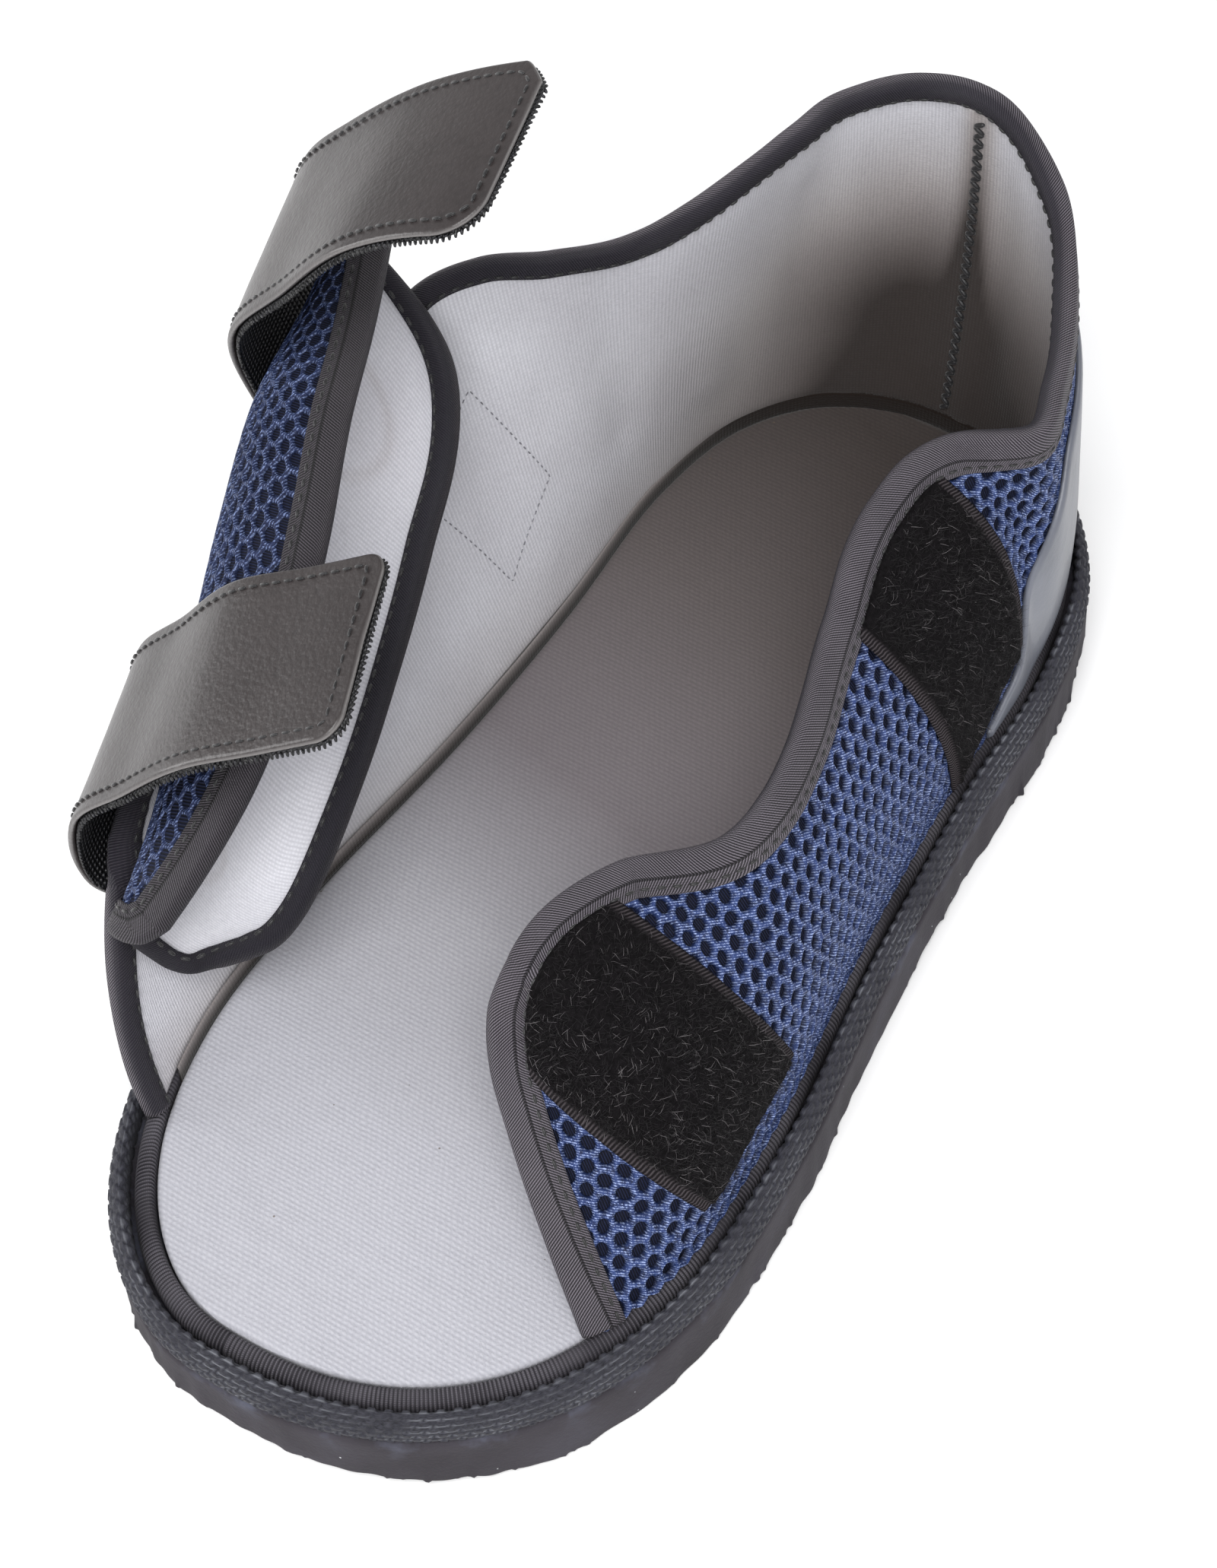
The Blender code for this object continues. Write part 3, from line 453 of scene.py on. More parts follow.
class Finish:
    # one material; its methods add nodes and give back what comes out of them
    def __init__(self, name, roughness, sheen=0.0, coat=0.0, specular=0.5):
        self.made = bpy.data.materials.new(name)
        self.made.use_nodes = True
        self.tree = self.made.node_tree
        self.shader = self.tree.nodes["Principled BSDF"]
        for socket, value in (("Roughness", roughness), ("Sheen Weight", sheen), ("Sheen Roughness", 0.5),
                              ("Coat Weight", coat), ("Specular IOR Level", specular)):
            self.shader.inputs[socket].default_value = value

    def add(self, kind, sockets, **settings):
        node = self.tree.nodes.new(kind)
        for key, value in settings.items():
            setattr(node, key, value)
        for key, value in sockets.items():
            if isinstance(value, bpy.types.NodeSocket):
                self.tree.links.new(value, node.inputs[key])
            else:
                node.inputs[key].default_value = value
        return node

    def put(self, kind, sockets, output=0, **settings):
        return self.add(kind, sockets, **settings).outputs[output]

    def sums(self, operation, a, b=0.0, c=0.0):
        return self.put("ShaderNodeMath", {0: a, 1: b, 2: c}, operation=operation)

    def times(self, a, b):
        return self.sums("MULTIPLY", a, b)

    def fused(self, a, b, c):
        # a times b, plus c
        return self.sums("MULTIPLY_ADD", a, b, c)

    def place(self):
        return self.put("ShaderNodeTexCoord", {}, "Object")

    def axis(self, number):
        return self.put("ShaderNodeSeparateXYZ", {0: self.place()}, number)

    def uv(self):
        # the two lengths of the piece's own map, in metres
        both = self.put("ShaderNodeTexCoord", {}, "UV")
        return [self.put("ShaderNodeSeparateXYZ", {0: both}, number) for number in (0, 1)]

    def tone(self):
        return self.put("ShaderNodeAttribute", {}, "Fac", attribute_name="tone")

    def speckle(self, size, detail=3.0, rough=0.5, at=None):
        place = self.place() if at is None else at
        return self.put("ShaderNodeTexNoise", {"Vector": place, "Scale": 1 / size, "Detail": detail,
                                               "Roughness": rough}, "Fac")

    def drawnOut(self, u, v, along, across, detail=2, rough=0.6):
        # speckle drawn out along u
        drawn = {0: self.sums("DIVIDE", u, along), 1: self.sums("DIVIDE", v, across)}
        return self.speckle(1.0, detail, rough, self.put("ShaderNodeCombineXYZ", drawn))

    def cells(self, size, feature="F1"):
        return self.put("ShaderNodeTexVoronoi", {"Vector": self.place(), "Scale": 1 / size}, "Distance",
                        feature=feature)

    def waves(self, along, pitch):
        # 0 to 1 and back once a pitch
        return self.fused(self.sums("SINE", self.times(along, 2 * math.pi / pitch)), 0.5, 0.5)

    def ranged(self, value, low, high, start=0.0, end=1.0):
        return self.put("ShaderNodeMapRange", {0: value, 1: low, 2: high, 3: start, 4: end})

    def between(self, factor, *stops):
        # ramp through rows of place, red, green, blue
        ramp = self.add("ShaderNodeValToRGB", {0: factor})
        marks = ramp.color_ramp.elements
        while len(marks) < len(stops):
            marks.new(0.5)
        for mark, (place, *colour) in zip(marks, stops):
            mark.position = place
            mark.color = tint(*colour)
        return ramp.outputs["Color"]

    def mixed(self, factor, a, b, blend="MIX"):
        a, b = [side if isinstance(side, bpy.types.NodeSocket) else tint(*side) for side in (a, b)]
        return self.put("ShaderNodeMix", {0: factor, 6: a, 7: b}, 2, data_type="RGBA", blend_type=blend)

    def knitted(self, base, knit, fuzz, grey, top):
        # a base darkened a little between the loops of its knit
        tone = self.fused(knit, 0.45, self.times(fuzz, 0.55))
        shade = self.between(tone, (0.2, grey, grey, grey + 2), (top, 255, 255, 255))
        return self.mixed(1.0, base, shade, "MULTIPLY")

    def finished(self, colour, *bumps):
        # bumps: height and its distance in metres, the coarsest first
        self.tree.links.new(colour, self.shader.inputs["Base Color"])
        for number, (height, distance) in enumerate(bumps):
            sockets = {"Height": height, "Distance": distance, "Strength": 1.0}
            if number:
                sockets["Normal"] = normal
            normal = self.put("ShaderNodeBump", sockets, "Normal")
        if bumps:
            self.tree.links.new(normal, self.shader.inputs["Normal"])
        return self.made


def foamFinish():
    # matt dark foam: fine pitting, faint blue-grey smears near its top, a few pale specks
    look = Finish("sole_foam_matt", 0.78, specular=0.25)
    blotch = look.speckle(0.018, 4)
    colour = look.between(blotch, (0.30, 45, 42, 47), (0.55, 54, 51, 57), (0.8, 65, 63, 71))
    smear = look.ranged(look.speckle(0.012, 4, 0.6), 0.52, 0.68, 0.0, 0.55)
    colour = look.mixed(look.times(look.ranged(look.axis(2), 0.010, 0.0164), smear), colour, (96, 100, 116))
    colour = look.mixed(look.sums("LESS_THAN", look.cells(0.006), 0.035), colour, (196, 198, 202))
    return look.finished(colour, (blotch, 0.0006), (look.speckle(0.0009, 3, 0.6), 0.00022))


def webbingFinish():
    # black yarn with painted glints: thin pale dashes where the long yarns come up
    look = Finish("webbing_woven", 0.62, sheen=0.03, specular=0.22)
    fibre = look.drawnOut(*look.uv(), 0.0012, 0.00018)
    # painted highlight: the dash tone lightens the yarn to pale grey
    dash = look.times(look.tone(), look.ranged(look.speckle(0.012), 0.42, 0.62, 0.05, 0.9))
    base = look.between(fibre, (0.3, 26, 26, 31), (0.7, 56, 56, 65))
    return look.finished(look.mixed(dash, base, (122, 124, 131)), (fibre, 0.00012))


def ribbedFinish(name, dark, pale, pitch):
    # ribbed tape: ribs follow u, fine threads across them
    look = Finish(name, 0.66, sheen=0.04, specular=0.2)
    u, v = look.uv()
    cross = look.times(look.waves(u, pitch), look.fused(look.waves(v, 0.00042), 0.45, 0.55))
    tone = look.fused(cross, 0.55, look.times(look.speckle(0.011, 4), 0.45))
    return look.finished(look.between(tone, (0.18, *dark), (0.78, *pale)), (cross, 0.00022))


def herringboneFinish(name, dark, pale, ridge):
    # folded tape: threads slant both ways from a lengthwise ridge line; the tone paints shade on its inner
    # face
    look = Finish(name, 0.6, sheen=0.04, specular=0.22)
    u, v = look.uv()
    lean = look.sums("ABSOLUTE", look.sums("SUBTRACT", v, ridge))
    thread = look.waves(look.fused(lean, 0.75, u), 0.00058)
    cloth = look.times(thread, look.fused(look.waves(v, 0.0005), 0.35, 0.65))
    patchy = look.speckle(0.009, 4)
    tone = look.fused(cloth, 0.85, look.times(patchy, 0.2))
    tone = look.sums("SUBTRACT", tone, look.ranged(lean, 0.0, 0.0004, 0.6, 0.0))
    colour = look.between(tone, (0.15, *dark), (0.85, *pale))
    return look.finished(look.mixed(look.tone(), colour, (30, 28, 37)), (patchy, 0.0006), (cloth, 0.00030))


def footbedFinish():
    # pale knit in fine rows across the sole, with painted shade making it browner and darker towards the
    # heel, a few specks
    look = Finish("footbed_knit", 0.92, sheen=0.15, specular=0.2)
    x, y = look.axis(0), look.axis(1)
    row = look.waves(look.fused(look.speckle(0.02, 2), 0.0008, y), 0.0010)
    slant = look.waves(look.fused(look.speckle(0.004, 2), 0.0016, look.fused(y, 0.6, x)), 0.0013)
    knit = look.times(row, look.fused(slant, 0.5, 0.5))
    fuzz = look.speckle(0.0007, 3, 0.7)
    # painted shade: the base runs from pale at the toe to dark brown at the heel
    base = look.between(look.ranged(look.fused(x, 0.25, y), -0.085, 0.120), (0.0, 180, 180, 187),
                     (0.22, 168, 167, 172), (0.42, 122, 116, 119), (0.70, 98, 91, 90), (1.0, 68, 61, 58))
    colour = look.knitted(base, knit, fuzz, 226, 0.7)
    spot = look.sums("LESS_THAN", look.cells(0.011), 0.022)
    colour = look.mixed(look.times(spot, 0.75), colour, (96, 84, 72))
    return look.finished(colour, (fuzz, 0.00018), (knit, 0.00006))


def liningFinish():
    # fine pale knit of the inside; the tone attribute carries painted shade deep in the heel and along the
    # foot, and a dark band along the seam
    look = Finish("lining_knit_fine", 0.9, sheen=0.15, specular=0.2)
    u, v = look.uv()
    knit = look.times(look.waves(u, 0.00085), look.fused(look.waves(v, 0.0007), 0.5, 0.5))
    fuzz = look.speckle(0.0008, 3, 0.7)
    base = look.between(look.speckle(0.03, 4), (0.3, 196, 195, 201), (0.7, 212, 212, 218))
    # painted shade: the tone darkens the knit towards a dark brown and warms it
    colour = look.mixed(look.tone(), look.knitted(base, knit, fuzz, 224, 0.75), (26, 20, 17))
    warmth = look.between(look.tone(), (0.0, 255, 255, 255), (0.4, 255, 248, 240), (1.0, 255, 240, 228))
    return look.finished(look.mixed(1.0, colour, warmth, "MULTIPLY"), (fuzz, 0.00014), (knit, 0.00007))


def airMeshFinish(name, low, high, glintColour):
    # yarn net: painted glints on the filaments and dark gaps along each strand, painted shade down the holes
    look = Finish(name, 0.5, specular=0.22)
    u, v = look.uv()
    filament = look.drawnOut(u, v, 0.0005, 0.0009, 3, 0.7)
    lumps = look.speckle(0.0014, 3, 0.75)
    base = look.between(look.speckle(0.02, 4), (0.3, *low), (0.7, *high))
    colour = look.mixed(look.ranged(lumps, 0.36, 0.54, 0.85, 0.0), base, (20, 27, 54))
    twist = look.waves(look.fused(v, 1.6, u), 0.0009)
    # painted highlight: glints on the filaments
    paintedGlint = look.times(filament, look.fused(twist, 0.4, 0.6))
    colour = look.mixed(look.ranged(paintedGlint, 0.42, 0.58, 0.0, 0.95), colour, glintColour)
    # painted shade: a low tone darkens the walls down the holes
    return look.finished(look.mixed(look.tone(), (13, 16, 32), colour), (lumps, 0.0004), (filament, 0.0003))


def underMeshFinish():
    # dark back layer of the air mesh, upright threads
    look = Finish("air_mesh_back", 0.7, specular=0.15)
    u, v = look.uv()
    broken = look.times(look.waves(u, 0.00055), look.drawnOut(u, v, 0.0004, 0.0014))
    return look.finished(look.between(broken, (0.15, 13, 15, 26), (0.6, 34, 40, 66)), (broken, 0.0003))


def counterFinish():
    # smooth light grey film over the heel
    look = Finish("counter_film_smooth", 0.42, coat=0.12)
    cloud = look.speckle(0.025, 4)
    colour = look.between(cloud, (0.3, 86, 89, 98), (0.7, 110, 113, 123))
    return look.finished(colour, (cloud, 0.0008), (look.speckle(0.0012, 4, 0.6), 0.0001))


def pileFinish():
    # black looped pile; the tone attribute marks the ribbed selvedges
    look = Finish("loop_pile_black", 0.95, specular=0.1)
    u, v = look.uv()
    curl = look.speckle(0.0011, 4, 0.75)
    slant = look.waves(look.fused(u, 0.35, v), 0.00078)
    pile = look.between(curl, (0.35, 8, 7, 8), (0.62, 20, 18, 20), (0.8, 38, 35, 38))
    band = look.between(slant, (0.2, 26, 23, 25), (0.8, 72, 67, 70))
    height = look.put("ShaderNodeMix", {0: look.tone(), 2: curl, 3: slant}, data_type="FLOAT")
    return look.finished(look.mixed(look.tone(), pile, band), (height, 0.0005))


def fibreFinish():
    # hairs in random tones of black; the lightest few are painted glints
    look = Finish("loop_fibre", 0.6, specular=0.25)
    colour = look.between(look.tone(), (0.0, 14, 13, 14), (0.75, 36, 33, 36), (1.0, 122, 118, 120))
    return look.finished(colour)


def leatheretteFinish():
    # dark brown-grey grained leatherette: pebbles in two sizes, soft wear, a thin paler cut edge
    look = Finish("leatherette_grain", 0.46, coat=0.25, specular=0.35)
    pebble = look.cells(0.0010, "SMOOTH_F1")
    grain = look.fused(pebble, -0.75, look.times(look.cells(0.0005), -0.25))
    wear = look.speckle(0.006, 5, 0.6)
    colour = look.between(look.speckle(0.022, 4), (0.3, 46, 41, 41), (0.7, 56, 51, 51))
    colour = look.mixed(look.ranged(wear, 0.55, 0.85, 0.0, 0.2), colour, (68, 63, 64))
    colour = look.mixed(look.ranged(pebble, 0.40, 0.80, 0.0, 0.35), colour, (30, 27, 28))
    colour = look.mixed(look.tone(), colour, (150, 147, 146))
    look.tree.links.new(look.ranged(wear, 0.3, 0.7, 0.40, 0.47), look.shader.inputs["Roughness"])
    return look.finished(colour, (grain, 0.00018))


def hookFinish():
    # black hook tape: a close field of tiny bent hooks
    look = Finish("hook_tape_black", 0.45)
    u, v = look.uv()
    field = look.times(look.waves(u, 0.0013), look.waves(v, 0.0011))
    return look.finished(look.between(field, (0.1, 12, 12, 14), (0.8, 54, 54, 58)), (field, 0.0006))


def threadFinish(name, dark, pale):
    look = Finish(name, 0.5, sheen=0.2)
    return look.finished(look.between(look.speckle(0.0006), (0.35, *dark), (0.65, *pale)))


def floorFinish():
    look = Finish("floor_pale", 0.9, specular=0.1)
    return look.finished(look.between(look.speckle(0.4, 2), (0.3, 244, 244, 245), (0.7, 250, 250, 250)))


finishes = {
    "foam": foamFinish(), "webbing": webbingFinish(), "footbed": footbedFinish(), "lining": liningFinish(),
    "airMesh": airMeshFinish("air_mesh_blue", (38, 54, 100), (50, 68, 118), (158, 174, 216)),
    "navyMesh": airMeshFinish("air_mesh_navy", (24, 34, 66), (34, 46, 82), (122, 138, 180)),
    "underMesh": underMeshFinish(), "counter": counterFinish(),
    "pile": pileFinish(), "fibre": fibreFinish(), "leather": leatheretteFinish(), "hook": hookFinish(),
    "tape": ribbedFinish("grosgrain_ring", (28, 26, 31), (98, 95, 102), 0.0009),
    "binding": herringboneFinish("grosgrain_binding", (19, 17, 21), (122, 116, 125), 0.0036),
    "tongueBinding": herringboneFinish("grosgrain_tongue", (14, 13, 16), (84, 79, 86), 0.0030),
    "darkThread": threadFinish("thread_dark", (9, 9, 11), (26, 25, 28)),
    "greyThread": threadFinish("thread_grey", (96, 96, 102), (140, 140, 146)),
}
print("finishes made:", len(finishes))


# stitches and fibres
def stitches(name, starts, ends, normals, thickness, lift, finish, slot, around=6):
    # each stitch is a half-sunk spindle from its start to its end, arched along the normal
    t = np.array((-1.0, -0.86, -0.45, 0.0, 0.45, 0.86, 1.0))
    turn = np.linspace(0, 2 * math.pi, around + 1)
    middle = (starts + ends) / 2
    half = (ends - starts) / 2
    along = unit(half)
    side = unit(np.cross(normals, along))
    up = unit(np.cross(along, side))
    arch = lift * (1 - t ** 2)
    spine = middle[:, None] + half[:, None] * t[None, :, None] + up[:, None] * arch[None, :, None]
    fat = thickness / 2 * np.sqrt(np.maximum(1 - t ** 4, 0))
    ring = (side[:, None, None] * np.cos(turn)[None, None, :, None]
            + up[:, None, None] * np.sin(turn)[None, None, :, None])
    points = spine[:, :, None] + ring * fat[None, :, None, None]
    manyGrids(name, points, None, finish)


def manyGrids(name, points, tones, finish):
    # one mesh of many small grids, (count, rows, columns, 3)
    corners = manyCorners(*points.shape[:3])
    flat = points.reshape(-1, 3)
    uvs = flat[:, :2][corners]
    tones = np.zeros(len(flat)) if tones is None else tones
    meshPiece(name, flat, corners, uvs, np.zeros(len(corners)), tones, [finish])


def stitchLine(points, normals, pitch, share=0.72):
    # starts, ends and normals of stitches laid end to end along a row of points
    way = walked(points)
    count = max(int(way[-1] / pitch), 1)
    step = way[-1] / count
    begin = (np.arange(count) + (1 - share) / 2) * step
    end = begin + share * step
    return (alongRow(points, way, begin), alongRow(points, way, end),
            unit(alongRow(normals, way, (begin + end) / 2)))


def fibres(name, roots, normals, length, width, lean, seed):
    # short bent hairs: each a strip of two quads that narrows to its tip
    dice = np.random.default_rng(seed)
    count = len(roots)
    drift = unit(np.cross(normals, unit(dice.normal(size=(count, 3)))))
    side = unit(np.cross(normals, drift))
    size = (length * dice.uniform(0.5, 1.2, count))[:, None]
    middle = roots + normals * size * 0.5 + drift * size * 0.25 * lean
    tip = roots + normals * size * 0.75 + drift * size * lean
    rows = []
    for place, half in ((roots, 0.5), (middle, 0.42), (tip, 0.12)):
        rows.append(np.stack((place - side * width * half, place + side * width * half), axis=1))
    points = np.stack(rows, axis=1)
    # random tone for each hair; the few near 1 get painted glints
    tones = np.repeat(dice.uniform(0, 1, count) ** 2.2, 6)
    manyGrids(name, points, tones, "fibre")


# outsole
outsole = {
    "sideStep": 0.0010, "toeSpring": 0.0030, "toeSpringLength": 0.048, "heelBevel": 0.0018,
    "heelBevelLength": 0.030, "archRelief": 0.0016, "archStart": 0.51, "archEnd": 0.66,
    "grooveDepth": 0.0015, "grooveWidth": 0.0030, "groovePitch": 0.0115,
    "groovesFromToe": 0.032, "groovesFromHeel": 0.020, "ways": 520, "crosses": 11,
    "longWave": 0.00026, "shortWave": 0.00022, "burr": 0.0009,
}


def underside(along, grooved=True):
    # height of the sole's underside at each place along it: toe spring, arch, heel bevel, cross grooves
    toe, heel = -shoe["length"] / 2, shoe["length"] / 2
    spring = outsole["toeSpring"] * np.clip(1 - (along - toe) / outsole["toeSpringLength"], 0, 1) ** 2
    start, end = [toe + outsole[key] * shoe["length"] for key in ("archStart", "archEnd")]
    arch = outsole["archRelief"] * np.sin(math.pi * np.clip((along - start) / (end - start), 0, 1)) ** 2
    bevel = outsole["heelBevel"] * np.clip(1 - (heel - along) / outsole["heelBevelLength"], 0, 1) ** 2
    first, last = toe + outsole["groovesFromToe"], heel - outsole["groovesFromHeel"]
    pitch = outsole["groovePitch"]
    off = np.abs((along - first + pitch / 2) % pitch - pitch / 2)
    groove = smoothStep((outsole["grooveWidth"] / 2 + 0.0003 - off) / 0.0006)
    clear = (along > first - 0.002) & (along < last) & ((along < start - 0.003) | (along > end + 0.003))
    return np.maximum(spring + arch + bevel, groove * clear * outsole["grooveDepth"] * grooved)


def makeOutsole():
    # a ring of side profiles round the outline, with a ruled sheet under it and one over it
    count = outsole["ways"]
    loop = soleLoop(count)
    tangent = np.gradient(loop, axis=0)
    tangent[0] = tangent[-1] = (1.0, 0.0)
    tangent = unit(tangent)
    tangent[count - 1] = (-1.0, 0.0)
    outward = np.column_stack((tangent[:, 1], -tangent[:, 0]))
    low = underside(loop[:, 1], grooved=False)
    step = outsole["sideStep"]
    wavy = outsole["longWave"] * softNoise(loop, 0.02, 3) + outsole["shortWave"] * softNoise(loop, 0.005, 4)
    burr = outsole["burr"] * np.clip(softNoise(loop, 0.0022, 5) - 0.6, 0, 1)
    # inset and metres over the underside for the rounded lower edge, then inset and share of the side
    lowEdge = ((step, 0.0), (0.45 * step, 0.12 * step), (0.1 * step, 0.45 * step), (0.0, step))
    side = ((0.0, 0.30), (0.0002, 0.62), (0.0, 0.90), (0.0002, 0.965), (step, 1.0))
    rows = [(inset - wavy * (height > 0) - burr, low + height) for inset, height in lowEdge]
    rows += [(inset - wavy * (share < 0.9), low + (shoe["outsole"] - low) * share) for inset, share in side]
    band = np.stack([np.column_stack((loop - outward * push[:, None], z)) for push, z in rows], axis=1)

    def ruled(ring, levelOf):
        right, left = bothSides(ring, count)
        share = np.linspace(0, 1, outsole["crosses"])[None, :, None]
        sheet = left[:, None] * (1 - share) + right[:, None] * share
        sheet[:, 1:-1, 2] = levelOf(sheet[:, 1:-1, 1])
        return sheet

    under = ruled(band[:, 0], underside)
    over = ruled(band[:, -1], lambda along: np.full(along.shape, shoe["outsole"]))
    makePiece("outsole_foam", [
        (band, metricUv(band), False, 0, None),
        (under, under[..., :2], False, 0, None),
        (over, over[..., :2], True, 0, None),
    ], ["foam"], ["outsole"], weld=2e-6, turnOut=True)


makeOutsole()


# webbing band
webbing = {"cell": 0.0033, "row": 0.00165, "perCell": 6, "samples": 66, "relief": 0.00062, "wavy": 0.00025}


def ringPiece(name, outline, steps, samples, relief, finish, node, tone=None):
    # closed band round the sole: a smooth closed section of (inset, height, crowd) carried round the
    # outline; crowd says how close the samples lie on the stretch that follows
    outline = np.array(outline)
    loop = np.vstack((outline, outline[:1]))
    knots = walked(loop[:, :2])
    filled = np.concatenate(([0.0], np.cumsum(np.diff(knots) * outline[:, 2])))
    spread = np.interp(np.linspace(0, filled[-1], samples), filled, knots)
    section = alongRow(loop[:, :2], knots, spread)
    for _ in range(3):
        beside = np.roll(section[:-1], 1, axis=0) + np.roll(section[:-1], -1, axis=0)
        section[:-1] = 0.5 * section[:-1] + 0.25 * beside
    section[-1] = section[0]
    tangent = closedTangent(section)
    # the section runs up the outer side first, so outward is to the left of its way
    out = np.column_stack((-tangent[:, 1], tangent[:, 0]))
    turns = np.linspace(0, 1, steps)
    s, t = np.meshgrid(turns * perimeter, walked(section), indexing="ij")
    lift = relief(s, t, section)
    inset = section[None, :, 0] + out[None, :, 0] * lift
    height = section[None, :, 1] + out[None, :, 1] * lift
    turn = np.repeat(turns[:, None], samples, axis=1)
    flat, _ = rim(turn, inset)
    points = np.concatenate((flat, height[..., None]), axis=-1)
    points[-1] = points[0]
    shade = None if tone is None else tone(s, t)
    sheet = (points, np.stack((s, t), axis=-1), False, 0, shade)
    makePiece(name, [sheet], [finish], [node], turnOut=True)


def basket(s, t):
    # rows of knobs, staggered like bricks, with a thin raised yarn dash over the gap between two rows, which
    # also marks where a glint is painted
    long, tall = webbing["cell"], webbing["row"]
    row = np.floor(t / tall)
    a = s / long + 0.5 * (row % 2)
    fu, fv = a - np.floor(a) - 0.5, t / tall - row - 0.5
    knob = np.clip(1.25 - (np.abs(fu) / 0.30) ** 4, 0, 1) * np.clip(1.2 - (np.abs(fv) / 0.42) ** 4, 0, 1)
    between = s / long + 0.5 * ((row + (fv > 0)) % 2)
    away = np.abs(between - np.floor(between) - 0.5)
    dash = np.clip((0.38 - away) / 0.08, 0, 1) * np.exp(-((0.5 - np.abs(fv)) / 0.12) ** 2)
    return np.maximum(knob, 0.75 * dash), dash


def makeWebbing():
    inner, foot, tall = shoe["weltThickness"], welt, shoe["weltHeight"]
    # inset, share of the band's height, crowd
    section = ((inner - 0.0002, 0, 0.3), (0.0006, 0, 1), (0.0002, 0.15, 1), (0.0001, 0.40, 1),
               (0.0004, 0.62, 1), (0.0010, 0.80, 1), (0.0018, 0.93, 1), (0.0026, 0.98, 1),
               (0.0032, 0.92, 0.5), (inner, 0.75, 0.25), (inner, 0.4, 0.25))
    outline = [(inset, foot + share * tall, crowd) for inset, share, crowd in section]
    cells = int(perimeter / webbing["cell"] / 2) * 2
    webbing["cell"] = perimeter / cells

    def relief(s, t, section):
        angle = s / perimeter * 2 * math.pi
        wavy = webbing["wavy"] * np.sin(angle * 9 + 1.3) * np.sin(angle * 4)
        return webbing["relief"] * (basket(s, t)[0] - 0.5) * (section[None, :, 1] > foot + 0.0003) + wavy

    ringPiece("webbing_band", outline, cells * webbing["perCell"] + 1, webbing["samples"], relief,
              "webbing", "welt_webbing", lambda s, t: basket(s, t)[1])


makeWebbing()


# ribbed tape ring
tapeRing = {"pitch": 0.00092, "perRib": 4, "samples": 18, "relief": 0.00016}


def makeTapeRing():
    top = welt + shoe["tapeHeight"]
    outer, inner = shoe["tapeOuter"], shoe["tapeInner"]
    outline = [(inner, welt, 0.4), (outer, welt, 0.5), (outer, welt + 0.5 * shoe["tapeHeight"], 1),
               (outer + 0.0002, top - 0.0022, 1), (outer + 0.0009, top - 0.0011, 1),
               (outer + 0.0019, top - 0.0005, 1), (inner - 0.0010, top, 1), (inner - 0.0002, top - 0.0001, 1),
               (inner, top - 0.0006, 0.3)]
    ribs = int(perimeter / tapeRing["pitch"])

    def relief(s, t, section):
        wave = np.cos(2 * math.pi * ribs * s / perimeter)
        return tapeRing["relief"] * (wave - 0.3) * (section[None, :, 1] > welt + 0.0008)

    ringPiece("tape_ring", outline, ribs * tapeRing["perRib"] + 1, tapeRing["samples"], relief, "tape",
              "rand_tape")


makeTapeRing()


# insole pad
insolePad = {"side": 0.0093, "ways": 170, "crosses": 66, "edge": 0.0019, "edgeShare": 0.72,
             "crownDrop": 0.0004, "longWave": 0.00022, "shortWave": 0.00008, "fill": 0.7}


def makeInsole():
    # outline drawn in and ruled across; the top is crowned and falls off round at its edge
    way = walked(soleLoop(fine["turns"]))
    drawn, _ = rim(way / way[-1], insolePad["side"])
    rightIn, leftIn = bothSides(drawn, fine["turns"])
    along = -np.cos(np.linspace(0, math.pi, insolePad["ways"]))
    middle = 0.5 * (rightIn[0, 1] + rightIn[-1, 1])
    reach = 0.5 * (rightIn[-1, 1] - rightIn[0, 1])
    y = middle + reach * along
    xr = np.interp(y, rightIn[:, 1], rightIn[:, 0])
    xl = np.interp(y, leftIn[:, 1], leftIn[:, 0])
    share = 0.5 - 0.5 * np.cos(np.linspace(0, math.pi, insolePad["crosses"]))
    x = xl[:, None] + (xr - xl)[:, None] * share[None, :]
    grid = np.stack((x, np.repeat(y[:, None], len(share), axis=1), np.zeros_like(x)), axis=-1)
    rounding = edgeRounding(grid, insolePad["edge"], ends=False)
    rounding = np.minimum(rounding, quarter(reach * (1 - np.abs(along)), insolePad["edge"])[:, None])
    crown = shoe["footbed"] - insolePad["crownDrop"]
    flat = grid[..., :2]
    waviness = (insolePad["longWave"] * softNoise(flat, 0.035, 11)
                + insolePad["shortWave"] * softNoise(flat, 0.008, 12))
    edgeLevel = welt + insolePad["edgeShare"] * shoe["footbed"]
    top = grid.copy()
    top[..., 2] = edgeLevel + (welt + crown - edgeLevel + waviness) * rounding
    under = grid.copy()
    under[..., 2] = edgeLevel + (welt - edgeLevel) * np.minimum(rounding * 1.6, 1)
    pad = twoSided("insole_pad", top, under, flat, ["footbed"], "insole", turnOut=True)


makeInsole()


# upper: lining and air mesh
upper = {
    "turns": 410, "rises": 44, "outer": 0.0001, "inner": -0.0014, "edge": 0.0012, "heelTurn": 0.524,
    "seamTurn": 0.5075, "seamLean": 0.0035, "zigzags": 54, "zigzagReach": 0.0012, "zigzagThread": 0.0012,
    "squareInset": 0.00005, "squarePitch": 0.0017, "squareShare": 0.55, "squareThread": 0.00035,
}

